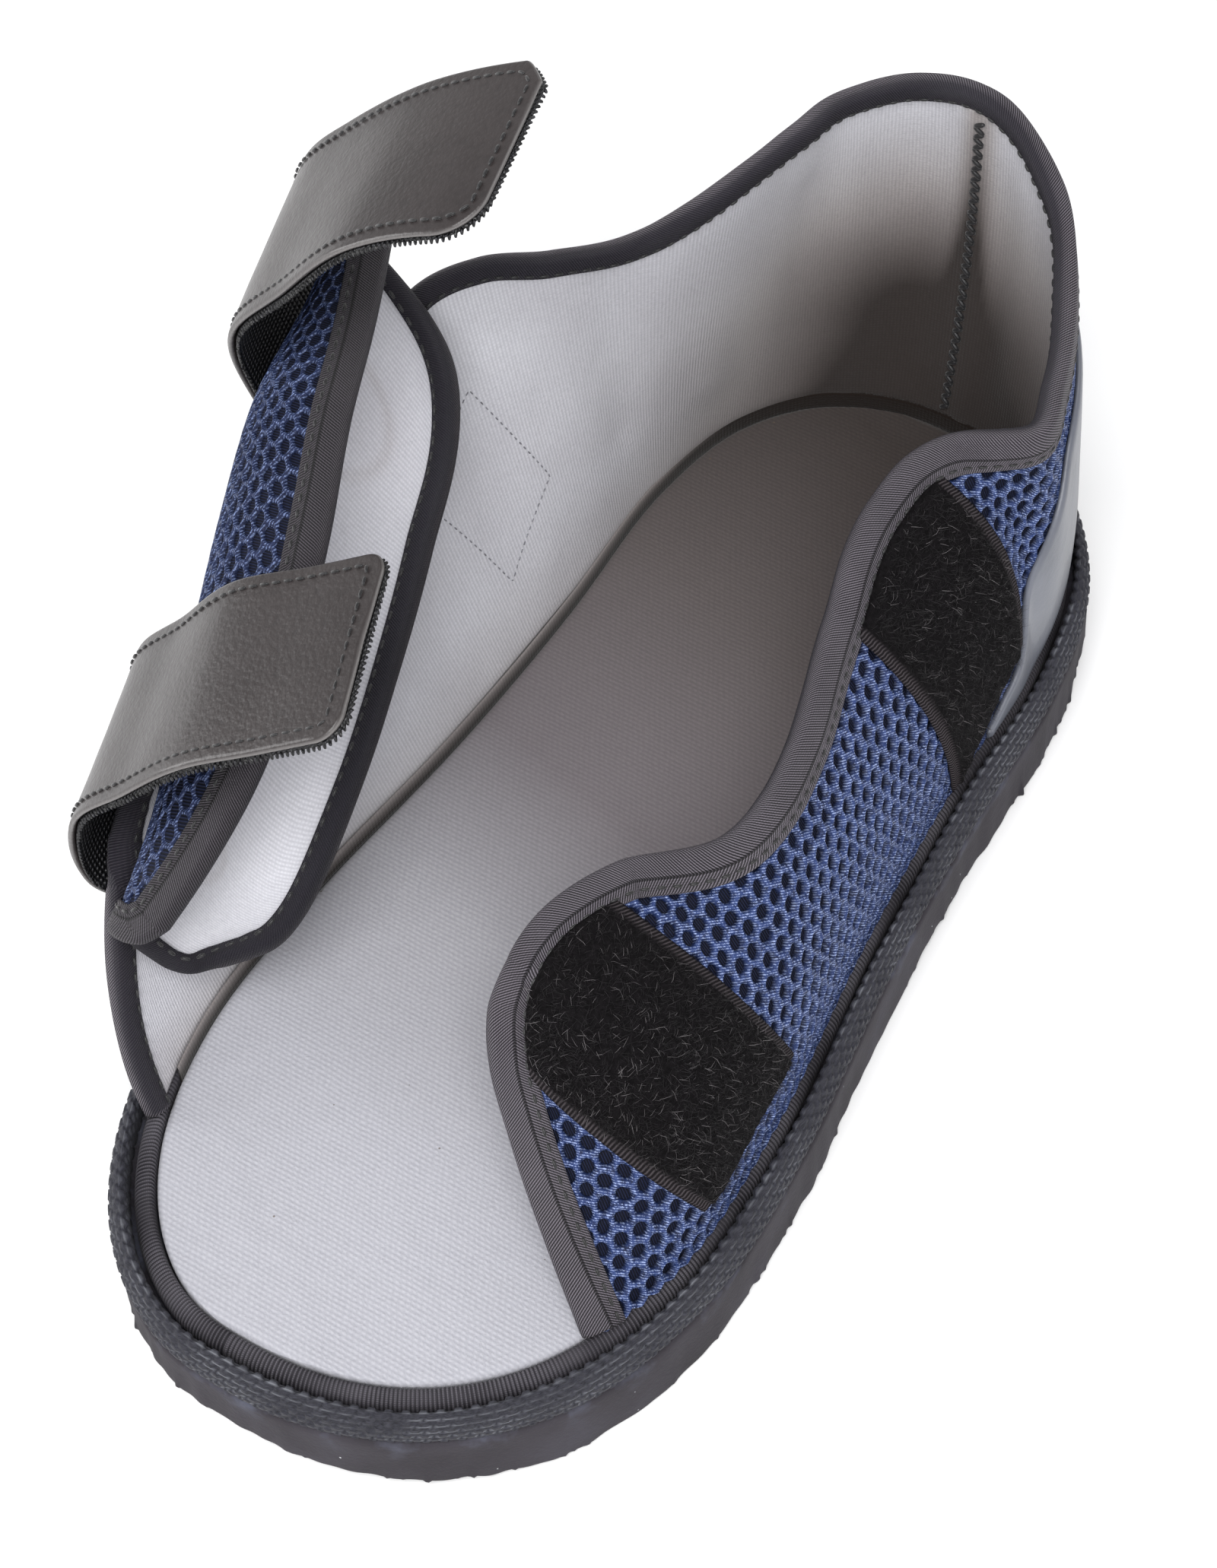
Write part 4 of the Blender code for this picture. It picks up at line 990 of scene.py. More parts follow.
# the lining's foot: rows of the wall left out at both ends, its section as inset and height, and
# the painted shade it gets at heights over the wall's foot, darkest low in the crevice beside the pad
lining = {
    "skip": slice(16, -8), "inset": shoe["tapeInner"] + 0.0001,
    "levels": ((-0.0002, 0.0028), (-0.0002, -0.0001), (-0.0001, -0.0003), (-0.0001, -0.0040),
               (0.00012, -0.0040), (0.00014, -0.0010), (0.00010, 0.0006), (0.0000, 0.0018),
               (-0.0002, 0.0028)),
    "shade": ((-0.0010, 0.0006, 0.0018, 0.0028), (0.75, 0.50, 0.30, 0.20)),
}
# the four corners of the stitches that show through the left lining: turn, rise
stitchedCorners = ((0.7014, 0.7137), (0.6844, 0.3705), (0.7101, 0.1958), (0.7249, 0.5735), (0.7014, 0.7137))

# soft folds of the lining: turn, lowest and highest rise, width, depth in metres
liningFolds = (
    (0.462, 0.05, 0.95, 0.007, 0.0007), (0.486, 0.15, 0.90, 0.005, -0.0006),
    (0.507, 0.00, 1.00, 0.004, -0.0008), (0.528, 0.10, 0.85, 0.006, 0.0008),
    (0.551, 0.05, 0.90, 0.005, -0.0005), (0.574, 0.10, 0.80, 0.008, 0.0007),
    (0.612, 0.20, 0.95, 0.010, -0.0006), (0.652, 0.30, 0.95, 0.006, 0.0008),
    (0.700, 0.10, 0.80, 0.009, -0.0005), (0.742, 0.20, 0.90, 0.006, 0.0006),
    (0.790, 0.10, 0.80, 0.010, 0.0004), (0.300, 0.20, 0.90, 0.008, 0.0005),
    (0.390, 0.30, 0.95, 0.006, -0.0007), (0.425, 0.10, 0.80, 0.008, 0.0006),
)


def foldDepth(turn, rise):
    total = np.zeros(np.broadcast(turn, rise).shape)
    for place, low, high, width, depth in liningFolds:
        away = (turn - place - 0.006 * (rise - 0.5)) * perimeter / width
        window = smoothStep((rise - low) / 0.15 + 0.5) * smoothStep((high - rise) / 0.15 + 0.5)
        total += depth * np.exp(-away ** 2) * window
    return total


def wallGrid():
    turns = np.linspace(wallStart, wallEnd, upper["turns"])
    shares = np.linspace(0, 1, upper["rises"])
    turn = np.repeat(turns[:, None], len(shares), axis=1)
    rise = shares[None, :] * riseLimit(turns)[:, None]
    return turn, rise


def seamAt(rise):
    # turn of the centre back seam at a rise
    return upper["seamTurn"] + upper["seamLean"] * (1 - rise)


def liningPaintedShadeAndSeam(turn, rise):
    # painted shade of the lining: deep in the heel low down, darkest left of the seam, and low along the
    # foot; plus a dark band along the seam
    off = (turn - upper["heelTurn"]) * perimeter
    heel = np.exp(-(off / np.where(off > 0, 0.052, 0.080)) ** 2)
    low = smoothStep((1.00 - rise) / 0.74)
    back = np.exp(-((turn - seamAt(rise)) * perimeter / 0.0036) ** 2)
    total = 1.02 * heel * low + 0.50 * back * smoothStep(rise * 3)
    # painted shade low down and close over the wall's foot
    total += 0.12 * smoothStep((0.30 - rise) / 0.30) + 0.22 * np.exp(-rise / 0.022)
    return np.clip(total, 0, 0.95)


def makeLining():
    turn, rise = wallGrid()
    middle = upperAt(turn, rise)
    normal = normalAt(upperAt, turn, rise)
    outer, inner = pillow(middle, normal, upper["outer"], upper["inner"], upper["edge"])
    rounding = edgeRounding(middle, 0.004)
    inner = inner + normal * (foldDepth(turn, rise) * rounding)[..., None]
    uv = np.stack((turn * perimeter, walkedOver(middle, 1)), axis=-1)
    makePiece("upper_lining", [(outer, uv, False, 1, None), (inner, uv, True, 0, liningPaintedShadeAndSeam(turn, rise))],
              ["lining", "underMesh"], ["upper"])
    # the lining runs on down to the pad: a thin band from inside the wall's foot to beside the pad
    turns = turn[lining["skip"], 0]
    inset, height = np.array(lining["levels"]).T
    rows = [np.column_stack((rim(turns, lining["inset"] + a)[0], np.full(len(turns), wallFoot + b)))
            for a, b in zip(inset, height)]
    skirt = np.stack(rows, axis=1)
    # painted shade: the heel's, plus more the lower it lies beside the pad
    tones = liningPaintedShadeAndSeam(turns[:, None], np.zeros((1, len(height)))) + np.interp(height, *lining["shade"])
    makePiece("lining_foot", [(skirt, metricUv(skirt), True, 0, np.minimum(tones, 1))],
              ["lining"], ["upper"])


makeLining()


def liningMarks():
    # zigzag seam down the centre back
    count = upper["zigzags"]
    places = np.linspace(0.94, 0.04, count)
    turn = seamAt(places) + np.where(np.arange(count) % 2 == 0, -1.0, 1.0) * upper["zigzagReach"] / perimeter
    points = wallPlace(turn, places, upper["inner"] - 0.0002 + foldDepth(turn, places))
    normals = -normalAt(upperAt, turn, places)
    stitches("centre_back_zigzag", points[:-1], points[1:], unit(normals[:-1] + normals[1:]),
             upper["zigzagThread"], 0.0, "darkThread", "thread")
    # four-sided row of fine stitches that shows through the left lining
    turn, rise = alongRow(np.array(stitchedCorners), np.arange(5), np.linspace(0, 4, 161)).T
    points = wallPlace(turn, rise, upper["inner"] + foldDepth(turn, rise) - upper["squareInset"])
    line = stitchLine(points, -normalAt(upperAt, turn, rise), upper["squarePitch"], upper["squareShare"])
    stitches("quarter_stitches", *line, upper["squareThread"], 0.0, "greyThread", "thread")


liningMarks()


# air mesh: drops are how far under the crest of the strands each row of a cell lies, tones how light it is,
# painted shade down the holes
net = {
    "pitch": 0.0044, "hole": 0.00152, "floor": 0.86, "crest": 0.00155, "offRound": 0.09, "offPlace": 0.00010,
    "drops": (0.0, 0.0001, 0.0006, 0.0015), "tones": (1.0, 1.0, 0.6, 0.0),
}


def netPiece(name, s, h, placed, surface, crest, node, finish, squeeze=1.0):
    # hexagonal cells, each a ring of quads from the crest of its strands down the side of its hole
    pitch, hole, count = net["pitch"], net["hole"], (len(s), 1, 1)
    around = np.arange(13) / 12 * 2 * math.pi + math.pi / 6
    # reach of the hexagon's border in each direction, corners and edge middles by turns
    border = pitch / math.sqrt(3) * np.where(np.arange(13) % 2 == 0, 1.0, math.cos(math.pi / 6))
    bottom = np.full(13, hole * net["floor"])
    reaches = np.stack((border, 0.5 * (border + hole) + 0.0001, np.full(13, hole), bottom))
    dice = np.random.default_rng(5)
    # each hole is a little off round and off its place
    wobble = 1 + net["offRound"] * dice.normal(size=count) * np.cos(2 * around + dice.uniform(0, 6, count))
    inside = np.arange(4)[None, :, None] > 1
    reaches = reaches[None] * np.where(inside, np.clip(wobble, 0.8, 1.15), 1.0)
    ds = reaches * np.cos(around)[None, None, :]
    dh = reaches * np.sin(around)[None, None, :] * squeeze
    ds = ds + np.where(inside, net["offPlace"] * dice.normal(size=count), 0.0)
    s, h = s[:, None, None] + ds, h[:, None, None] + dh
    u, v = placed(s, h)
    heights = crest - np.array(net["drops"])[None, :, None]
    points = surface(u, v) + normalAt(surface, u, v) * np.broadcast_to(heights, ds.shape)[..., None]
    tones = np.broadcast_to(np.array(net["tones"])[None, :, None], ds.shape).ravel()
    corners = manyCorners(*s.shape)
    uv = np.stack((s, h), axis=-1).reshape(-1, 2)
    meshPiece(name, points.reshape(-1, 3), corners, uv[corners], np.zeros(len(corners)), tones,
              [finish], [node], weld=2e-5)


def everyPair(rows, columns):
    return [grid.ravel() for grid in np.meshgrid(rows, columns, indexing="ij")]


def makeNet():
    pitch = net["pitch"]
    rowStep = pitch * math.sqrt(3) / 2
    first, last = wallStart * perimeter, wallEnd * perimeter
    columns = np.arange(int(first / pitch), int(last / pitch) + 1)
    row, column = everyPair(np.arange(int(0.13 / rowStep)), columns)
    s = (column + 0.5 * (row % 2)) * pitch
    h = (row + 0.60) * rowStep
    turn = s / perimeter
    length = ribLength(turn)
    top = riseLimit(turn) * length
    counterTop = np.interp(turn, *np.array(counterRows).T, left=0, right=0) * length
    keep = ((s > first + 0.6 * pitch) & (s < last - 0.6 * pitch)
            & (h < top - 0.6 * pitch) & (h > counterTop - 1.2 * pitch))
    netPiece("air_mesh_net", s[keep], h[keep], onWall, upperAt, net["crest"], "upper", "airMesh")


makeNet()


# folded bindings
# its two rows of stitches: side of the cloth and column of the tape's section
binding = {
    "width": 0.0066, "inside": 0.0030, "thickness": 0.0009, "step": 0.0007, "foot": 0.015, "wavy": 0.00012,
    "stitchRows": ((1, 3), (-1, 16)), "stitchPitch": 0.0031, "stitchShare": 0.62, "stitchThread": 0.0007,
    "stitchLift": 0.0001, "stitchSeat": 0.00005,
}


def foldedTape(name, surface, u, v, facing, half, widths, finish, node, thickness, closed=False):
    # tape folded over a cloth edge: a rounded closed section carried along the edge path;
    # widths are its width on the cloth's outer and on its inner face
    edge = surface(u, v)
    tangent = closedTangent(edge) if closed else unit(np.gradient(edge, axis=0))
    normal = normalAt(surface, u, v)
    heading = unit(np.cross(normal, tangent)) * facing
    gap = half + 0.0001
    skin = gap + thickness
    wide, narrow = widths
    angle = np.linspace(math.pi / 2, -math.pi / 2, 9)
    outer = [(wide + 0.0003, gap + 0.2 * thickness), (wide + 0.0002, gap + 0.7 * thickness),
             (wide - 0.0003, skin - 0.0001), (wide - 0.0011, skin - 0.0003), (wide - 0.0019, skin),
             (0.5 * wide, skin + 0.0001)]
    outer += [(-(skin * 0.6) * math.cos(a), skin * math.sin(a)) for a in angle]
    outer += [(0.5 * narrow, -skin - 0.0001), (narrow - 0.0007, -skin), (narrow - 0.0001, -skin + 0.0002),
              (narrow + 0.0002, -gap - 0.6 * thickness), (narrow + 0.0002, -gap - 0.1 * thickness)]
    inner = [(0.6 * narrow, -gap), (0.0, -0.5 * gap), (0.0, 0.5 * gap), (0.5 * wide, gap)]
    section = outer + inner + outer[:1]
    way = walked(edge)
    waviness = binding["wavy"] * softNoise(edge, 0.014, 71)
    columns, uvs, tones = [], [], []
    across, last = 0.0, None
    for number, (inward, height) in enumerate(section):
        rise = height + np.sign(height) * waviness * (number < len(outer))
        if inward > 0:
            iu, iv = walkIn(surface, u, v, heading, inward)
            column = surface(iu, iv) + normalAt(surface, iu, iv) * rise[:, None]
        else:
            column = edge + heading * inward + normal * rise[:, None]
        across += 0 if last is None else math.hypot(inward - last[0], height - last[1])
        last = (inward, height)
        columns.append(column)
        uvs.append(np.column_stack((way, np.full(len(way), across))))
        # painted shade: the inner face of the tape is darker
        tones.append(np.full(len(way), float(smoothStep((0.3 - height / skin) / 0.8)) * 0.85))
    points = np.stack(columns, axis=1)
    uv = np.stack(uvs, axis=1)
    if closed:
        points[-1] = points[0]
    sheets = [(points, uv, False, 0, np.stack(tones, axis=1))]
    if not closed:
        # each open end is closed between the outer and the inner side of the section
        for row in (0, -1):
            long = points[row, :len(outer)]
            short = points[row, len(outer):-1][::-1]
            place = np.linspace(0, len(short) - 1, len(long))
            lower = np.floor(place).astype(int).clip(0, len(short) - 2)
            near = short[lower] + (short[lower + 1] - short[lower]) * (place - lower)[:, None]
            cap = np.stack((long, near), axis=0)
            sheets.append((cap, cap[..., :2], row == 0, 0, None))
    makePiece(name, sheets, [finish], [node], turnOut=True)
    return points


def freePath(step):
    # turn and rise along the upper's free edge, up the right front rib, round the top and down the left
    turns = np.linspace(wallStart, wallEnd, 3000)
    rises = riseLimit(turns)
    first = np.linspace(binding["foot"], rises[0], 200)[:-1]
    turn = np.concatenate((np.full(len(first), turns[0]), turns, np.full(len(first), turns[-1])))
    last = np.linspace(rises[-1], binding["foot"], 200)[1:]
    rise = np.concatenate((first, rises, last))
    way = walked(upperAt(turn, rise))
    places = np.linspace(0, way[-1], int(way[-1] / step))
    return np.interp(places, way, turn), np.interp(places, way, rise)


pathTurn, pathRise = freePath(binding["step"])
bindingPoints = foldedTape("upper_binding_tape", upperAt, pathTurn, pathRise, -1, shoe["wall"] / 2,
                           (binding["width"], binding["inside"]), "binding", "upper_binding",
                           binding["thickness"])


def stitchFold(name, surface, u, v, points):
    # a row of dark stitches in the groove near the tape's outer edge, and one near its inner edge
    normal = normalAt(surface, u, v)
    pitch, share, seat = [binding[key] for key in ("stitchPitch", "stitchShare", "stitchSeat")]
    lines = [stitchLine(points[:, column] + normal * side * seat, normal * side, pitch, share)
             for side, column in binding["stitchRows"]]
    stitches(name, *[np.concatenate(both) for both in zip(*lines)], binding["stitchThread"],
             binding["stitchLift"], "darkThread", "thread")


stitchFold("upper_binding_stitches", upperAt, pathTurn, pathRise, bindingPoints)


# heel counter
counter = {"thickness": 0.0012, "sunk": 0.0002, "foot": 0.02, "turns": 220, "rises": 22, "edge": 0.0009,
           "ripple": 0.00018}


def makeCounter():
    rows = np.array(counterRows)
    turns = np.linspace(rows[0, 0] + 0.001, rows[-1, 0] - 0.001, counter["turns"])
    tops = smoothThrough(rows[:, 0], rows[:, 1:], turns)[:, 0]
    share = np.linspace(0, 1, counter["rises"])[None, :]
    turn = np.repeat(turns[:, None], counter["rises"], axis=1)
    rise = counter["foot"] + (tops[:, None] - counter["foot"]) * share
    middle = upperAt(turn, rise)
    normal = normalAt(upperAt, turn, rise)
    low = shoe["wall"] / 2 + shoe["seat"] - counter["sunk"]
    ripple = counter["ripple"] * softNoise(np.stack((turn * perimeter, rise * 0.06), axis=-1), 0.03, 21)
    top, under = pillow(middle, normal, low + counter["thickness"] + ripple, low - 0.0004, counter["edge"])
    twoSided("heel_counter_film", top, under, metricUv(middle), ["counter"], "heel_counter")


makeCounter()


# loop patches
patches = {
    "front": {"low": ((0.160, 0.136), (0.213, 0.209)), "start": 0.078, "stop": 0.150,
              "bow": 0.0, "hairs": 5200},
    "rear": {"low": ((0.324, 0.020), (0.3665, 0.229)), "start": 0.274, "stop": 0.342,
             "bow": 0.004, "hairs": 3600},
}
patch = {
    "thickness": 0.0018, "width": 0.038, "selvedge": 0.0022, "selvedgeDrop": 0.0006, "relief": 0.00022,
    "across": 58, "along": 76, "edge": 0.0008, "hairLength": 0.0017, "hairWidth": 0.00007, "hairLean": 1.1,
}


def underBinding(shares):
    # places on the upper just inside the binding, at shares of the way along the free edge
    path = np.linspace(0, 1, 400)
    way = walked(upperAt(pathTurn, pathRise))
    u, v = np.interp(path * way[-1], way, pathTurn), np.interp(path * way[-1], way, pathRise)
    edge = upperAt(u, v)
    heading = unit(np.cross(unit(np.gradient(edge, axis=0)), normalAt(upperAt, u, v)))
    u, v = walkIn(upperAt, u, v, heading, binding["width"] - 0.001)
    return np.interp(shares, path, u), np.interp(shares, path, v)


def makePatch(end):
    spec = patches[end]
    across = np.linspace(0, 1, patch["across"])
    along = np.linspace(0, 1, patch["along"])
    top = np.stack(underBinding(spec["start"] + across * (spec["stop"] - spec["start"])), axis=-1)
    first, last = np.array(spec["low"])
    low = first + across[:, None] * (last - first)
    places = low[:, None] + along[None, :, None] * (top - low)[:, None]
    places[..., 0] += spec["bow"] * across[:, None] * np.sin(math.pi * along)[None, :]
    middle = upperAt(places[..., 0], places[..., 1])
    normal = normalAt(upperAt, places[..., 0], places[..., 1])
    # width from the front edge, in metres, to mark the selvedges
    wide = walkedOver(middle, 0)
    fromEdge = np.minimum(wide, wide[-1:] - wide)
    band = 1 - smoothStep((fromEdge - patch["selvedge"] + 0.0002) / 0.0004)
    rough = 0.5 * softNoise(middle, 0.0030, 31) + 0.5 * softNoise(middle, 0.0015, 32)
    lift = patch["relief"] * rough * (1 - band) - patch["selvedgeDrop"] * band
    low = shoe["wall"] / 2 + 0.0001
    over, under = pillow(middle, normal, low + patch["thickness"] + lift, low, patch["edge"])
    name = "loop_patch_" + end
    twoSided(name + "_pile", over, under, metricUv(middle), ["pile"], name, (band, band))
    dice = np.random.default_rng(41 + len(end))
    margin = patch["selvedge"] / patch["width"]
    a = dice.uniform(margin, 1 - margin, spec["hairs"])
    b = dice.uniform(0.01, 0.99, spec["hairs"])
    fibres(name + "_fibres", lookUp(over, a, b), lookUp(normal, a, b), patch["hairLength"],
           patch["hairWidth"], patch["hairLean"], 43)


for end in patches:
    makePatch(end)


# tongue
# marks: place along and across, and radius, of two faint round marks pressed into its lining, shown as
# painted shade
tongue = {
    "ways": 130, "crosses": 66, "heelCorner": 0.15, "heelBend": 4.0, "edge": 0.0015, "puff": 0.0003,
    "width": 0.0054, "inside": 0.0026, "tape": 0.0007, "fill": 0.35, "squeeze": 0.72,
    "marks": ((0.80, 0.66, 0.010), (0.13, 0.62, 0.008)), "paintedMarkShade": 0.10,
}

# where the tongue's cloth ends at the toe: place across from the near rim to the far one, way along
tongueToe = ((0, -0.016), (0.03, -0.034), (0.08, -0.043), (0.15, -0.048), (0.30, -0.058), (0.46, -0.078),
             (0.58, -0.110), (0.70, -0.152), (0.80, -0.180), (0.88, -0.186), (0.94, -0.170), (0.98, -0.132),
             (1.0, -0.070))


def tonguePlaces(share, cross):
    # way along the tongue for a share of its length, between its rounded toe end and its heel end
    knots = np.array(tongueToe)
    toe = smoothThrough(knots[:, 0], knots[:, 1:], cross)[..., 0]
    bend = tongue["heelBend"]
    heel = tongue["heelCorner"] * (1 - np.maximum(1 - cross ** bend, 0) ** (1 / bend))
    return toe + share * (1 - toe - heel)


def makeTongue():
    share = np.linspace(0, 1, tongue["ways"])[:, None]
    cross = np.linspace(0, 1, tongue["crosses"])[None, :]
    cross = np.repeat(cross, tongue["ways"], axis=0)
    way = tonguePlaces(share, cross)
    middle = tongueAt(way, cross)
    normal = normalAt(tongueAt, way, cross)
    uv = metricUv(middle)
    half = shoe["tongueThickness"] / 2
    puff = tongue["puff"] * softNoise(uv, 0.03, 51)
    over, under = pillow(middle, normal, half - 0.0006 + puff, -half + 0.0004 + puff, tongue["edge"])
    # each mark is painted shade: a dark ring, shown on its far half
    marks = np.zeros(way.shape)
    for place, side, radius in tongue["marks"]:
        away = np.hypot((way - place) * shoe["tongueLength"], (cross - side) * 0.055) / radius
        marks += tongue["paintedMarkShade"] * np.exp(-((away - 1) / 0.10) ** 2) * (cross > side - 0.02)
    keys = ["underMesh", "lining"]
    pad = twoSided("tongue_pad", over, under, uv, keys, "tongue", (None, marks))
    tongueNet(way, cross, uv)
    # once round the rim: the near side, the heel end, the far side, the toe end
    rows, ends = np.linspace(0, 1, 400), 0.5 - 0.5 * np.cos(np.linspace(0, math.pi, 200))
    shares = np.concatenate((rows, np.ones(199), rows[::-1][1:], np.zeros(199)))
    crosses = np.concatenate((np.zeros(400), ends[1:], np.ones(399), ends[::-1][1:]))
    ways = tonguePlaces(shares, crosses)
    line = walked(tongueAt(ways, crosses))
    places = np.linspace(0, line[-1], int(line[-1] / binding["step"]) + 1)
    ways, crosses = np.interp(places, line, ways), np.interp(places, line, crosses)
    ways[-1], crosses[-1] = ways[0], crosses[0]
    widths = (tongue["width"], tongue["inside"])
    points = foldedTape("tongue_binding_tape", tongueAt, ways, crosses, 1, half, widths, "tongueBinding",
                        "tongue_binding", tongue["tape"], closed=True)
    stitchFold("tongue_binding_stitches", tongueAt, ways, crosses, points)


def tongueNet(way, cross, uv):
    # the air mesh of the tongue's outside, on the same hexagons as the upper's
    long, pitch, squeeze = uv[-1, 0, 0], net["pitch"], tongue["squeeze"]
    widths = uv[:, -1, 1] - uv[:, 0, 1]
    shares = np.linspace(0, 1, len(widths))
    row, column = everyPair(np.arange(-18, 19), np.arange(int(long / pitch) + 1))
    s = (column + 0.5 * (row % 2) + 0.3) * pitch
    h = row * pitch * math.sqrt(3) / 2 * squeeze
    wide = np.interp(s / long, shares, widths)
    keep = (np.abs(h) < wide / 2 - 0.7 * pitch) & (s > 0.8 * pitch) & (s < long - 0.8 * pitch)

    def placed(s, h):
        a = s / long
        b = 0.5 + h / np.interp(a, shares, widths)
        return lookUp(way, a, b), lookUp(cross, a, b)

    netPiece("tongue_net", s[keep], h[keep], placed, tongueAt, shoe["tongueThickness"] / 2, "tongue",
             "navyMesh", squeeze)


makeTongue()


# straps
strap = {
    "corner": {"front": (0.0050, 0.0045), "rear": (0.0085, 0.0050)}, "stations": 160, "across": 46,
    "crowd": 0.55, "tip": 0.009, "tipStations": 30, "stitchInset": 0.0030, "stitchPitch": 0.0027,
    "stitchStart": 8, "stitchThread": 0.0006, "stitchLift": 0.00008, "stitchSeat": 0.00012,
    "tooth": 0.0012, "toothStart": 6, "toothThread": 0.0007, "toothLift": 0.0002,
    "hookStations": 120, "hookAcross": 22, "hookInset": 0.0002, "edge": 0.0009, "hookEdge": 0.0005,
    "wrinkle": 0.00007, "wrinklePlace": 0.045, "wrinkleReach": 0.018, "wrinklePitch": 0.0034,
    "longCrease": 0.00022, "shortCrease": 0.00002,
}


def strapGrid(end, inset=0.0, stations=None, across=None):
    # rows of points across the band, on the quarter first and then free, with the tip's two corners cut;
    # the corner on the toe side is round, the one on the heel side is a softer chamfer on the rear strap
    rows = strapRows[end]
    side = np.linspace(-1, 1, 5)
    base = np.array(rows["base"])
    turn = base[:, :1] + side * base[:, 2:3]
    rise = base[:, 1:2] + side * base[:, 3:4]
    onQuarter = wallPlace(turn, rise, shoe["wall"] / 2 + shoe["strapSeat"])
    free = np.array(rows["free"])
    scale = np.array((shoe["width"], shoe["length"], shoe["collar"]))
    centre = np.array((0.0, -shoe["length"] / 2, wallFoot)) + free[:, :3] * scale
    tangent = unit(np.gradient(np.concatenate((onQuarter[-1:, 2], centre)), axis=0))[1:]
    swing, tilt = np.radians(free[:, 3]), np.radians(free[:, 4])
    widthWay = np.stack((-np.sin(swing) * np.cos(tilt), np.cos(swing) * np.cos(tilt), np.sin(tilt)), axis=-1)
    widthWay = unit(widthWay - tangent * np.sum(widthWay * tangent, axis=-1, keepdims=True))
    inAir = centre[:, None] + widthWay[:, None] * side[None, :, None] * shoe["strapWidth"] / 2
    band = np.concatenate((onQuarter, inAir))
    way = walked(band[:, 2])
    total, tip, close = way[-1], strap["tip"], strap["tipStations"]
    count = stations or strap["stations"]
    towards = 1 - np.sin(np.linspace(0, math.pi / 2, close + 1)[1:])
    places = np.r_[np.linspace(0, total - tip, count - close), total - tip * towards]
    grid = smoothThrough(way, band.reshape(len(band), -1), places).reshape(len(places), 5, 3)
    left = total - places
    halfWidth = shoe["strapWidth"] / 2
    low, high = strap["corner"][end]
    cutLow = low * (1 - quarter(left, low))
    if end == "rear":
        cutHigh = high * np.clip(1 - left / high, 0, 1) ** 1.25
    else:
        cutHigh = high * (1 - quarter(left, high))
    share = denser(across or strap["across"], strap["crowd"])[None, :]
    start = -1 + (cutLow[:, None] + inset) / halfWidth
    stop = 1 - (cutHigh[:, None] + inset) / halfWidth
    place = (start * (1 - share) + stop * share + 1) / 2 * 4
    cell = np.clip(place.astype(int), 0, 3)
    part = (place - cell)[..., None]
    line = np.arange(len(grid))[:, None]
    # the five points across lie on a line, so straight steps between them hold its form
    points = grid[line, cell] * (1 - part) + grid[line, cell + 1] * part
    normal = unit(np.cross(np.gradient(grid, axis=0), np.gradient(grid, axis=1)))
    normals = unit(normal[line, cell] * (1 - part) + normal[line, cell + 1] * part)
    return points, normals


def roundTip(grid, start, stop, row, column=0):
    # line along a band: up one side, across at a row, back down the other side
    return np.concatenate((grid[start:stop, column], grid[row, 1:-1], grid[start:stop, -1 - column][::-1]))


def creaseAt(end, places):
    return (strap["shortCrease"] * softNoise(places, 0.012, 61 + len(end))
            + strap["longCrease"] * softNoise(places, 0.045, 62))


def makeStrap(end):
    # leatherette over hook tape: two pillows on one band, with a stitch line and rows of teeth round its edge
    points, normals = strapGrid(end)
    base = shoe["hook"] + shoe["clearance"] * 0.6
    uv = metricUv(points)
    crease = creaseAt(end, uv)
    # bent places wrinkle across the band
    wrinkle = strap["wrinkle"] * np.sin(uv[..., 0] / strap["wrinklePitch"] + 1.5 * softNoise(uv, 0.02, 63))
    wrinkle = wrinkle * np.exp(-((uv[..., 0] - strap["wrinklePlace"]) / strap["wrinkleReach"]) ** 2)
    top = base + shoe["leather"] + crease + wrinkle
    over, under = pillow(points, normals, top, base + crease * 0.5, strap["edge"])
    pale = np.clip(1 - edgeRounding(points, 0.0006) * 1.02, 0, 1) * 0.45
    twoSided("strap_%s_leather" % end, over, under, uv, ["leather"], "strap_" + end,
             (pale, pale), turnOut=True)
    hookPoints, hookNormals = strapGrid(end, strap["hookInset"], strap["hookStations"], strap["hookAcross"])
    uv = metricUv(hookPoints)
    crease = creaseAt(end, uv) * 0.5
    over, under = pillow(hookPoints, hookNormals, shoe["hook"] + crease, shoe["clearance"] + crease,
                         strap["hookEdge"])
    twoSided("hook_%s_tape" % end, over, under, uv, ["hook"], "hook_" + end, turnOut=True)
    # stitch line inside both long edges and the tip
    inset = strap["stitchInset"]
    inner, innerNormals = strapGrid(end, inset=inset)
    way = walked(inner[:, len(inner[0]) // 2])
    stop = int(np.searchsorted(way, way[-1] - inset))
    line, normal = [roundTip(grid, strap["stitchStart"], stop, stop) for grid in (inner, innerNormals)]
    line = line + normal * (base + shoe["leather"] + strap["stitchSeat"])
    stitches("strap_%s_stitches" % end, *stitchLine(line, normal, strap["stitchPitch"]),
             strap["stitchThread"], strap["stitchLift"], "darkThread", "thread")
    # teeth of the hook tape along its edges: short bent loops pointing out of the edge and down
    first = strap["toothStart"]
    line, normal = [roundTip(grid, first, None, -1) for grid in (hookPoints, hookNormals)]
    starts, ends, up = stitchLine(line, normal, strap["tooth"])
    way = walked(line)
    away = unit(line - roundTip(hookPoints, first, None, -4, 3))
    outward = unit(alongRow(away, way, np.linspace(0, way[-1], len(starts))))
    root = (starts + ends) / 2 + up * 0.0008
    stitches("hook_%s_teeth" % end, root - outward * 0.0010, root + outward * 0.00045 - up * 0.0007, up,
             strap["toothThread"], strap["toothLift"], "hook", "hook_tape")


for end in strapRows:
    makeStrap(end)


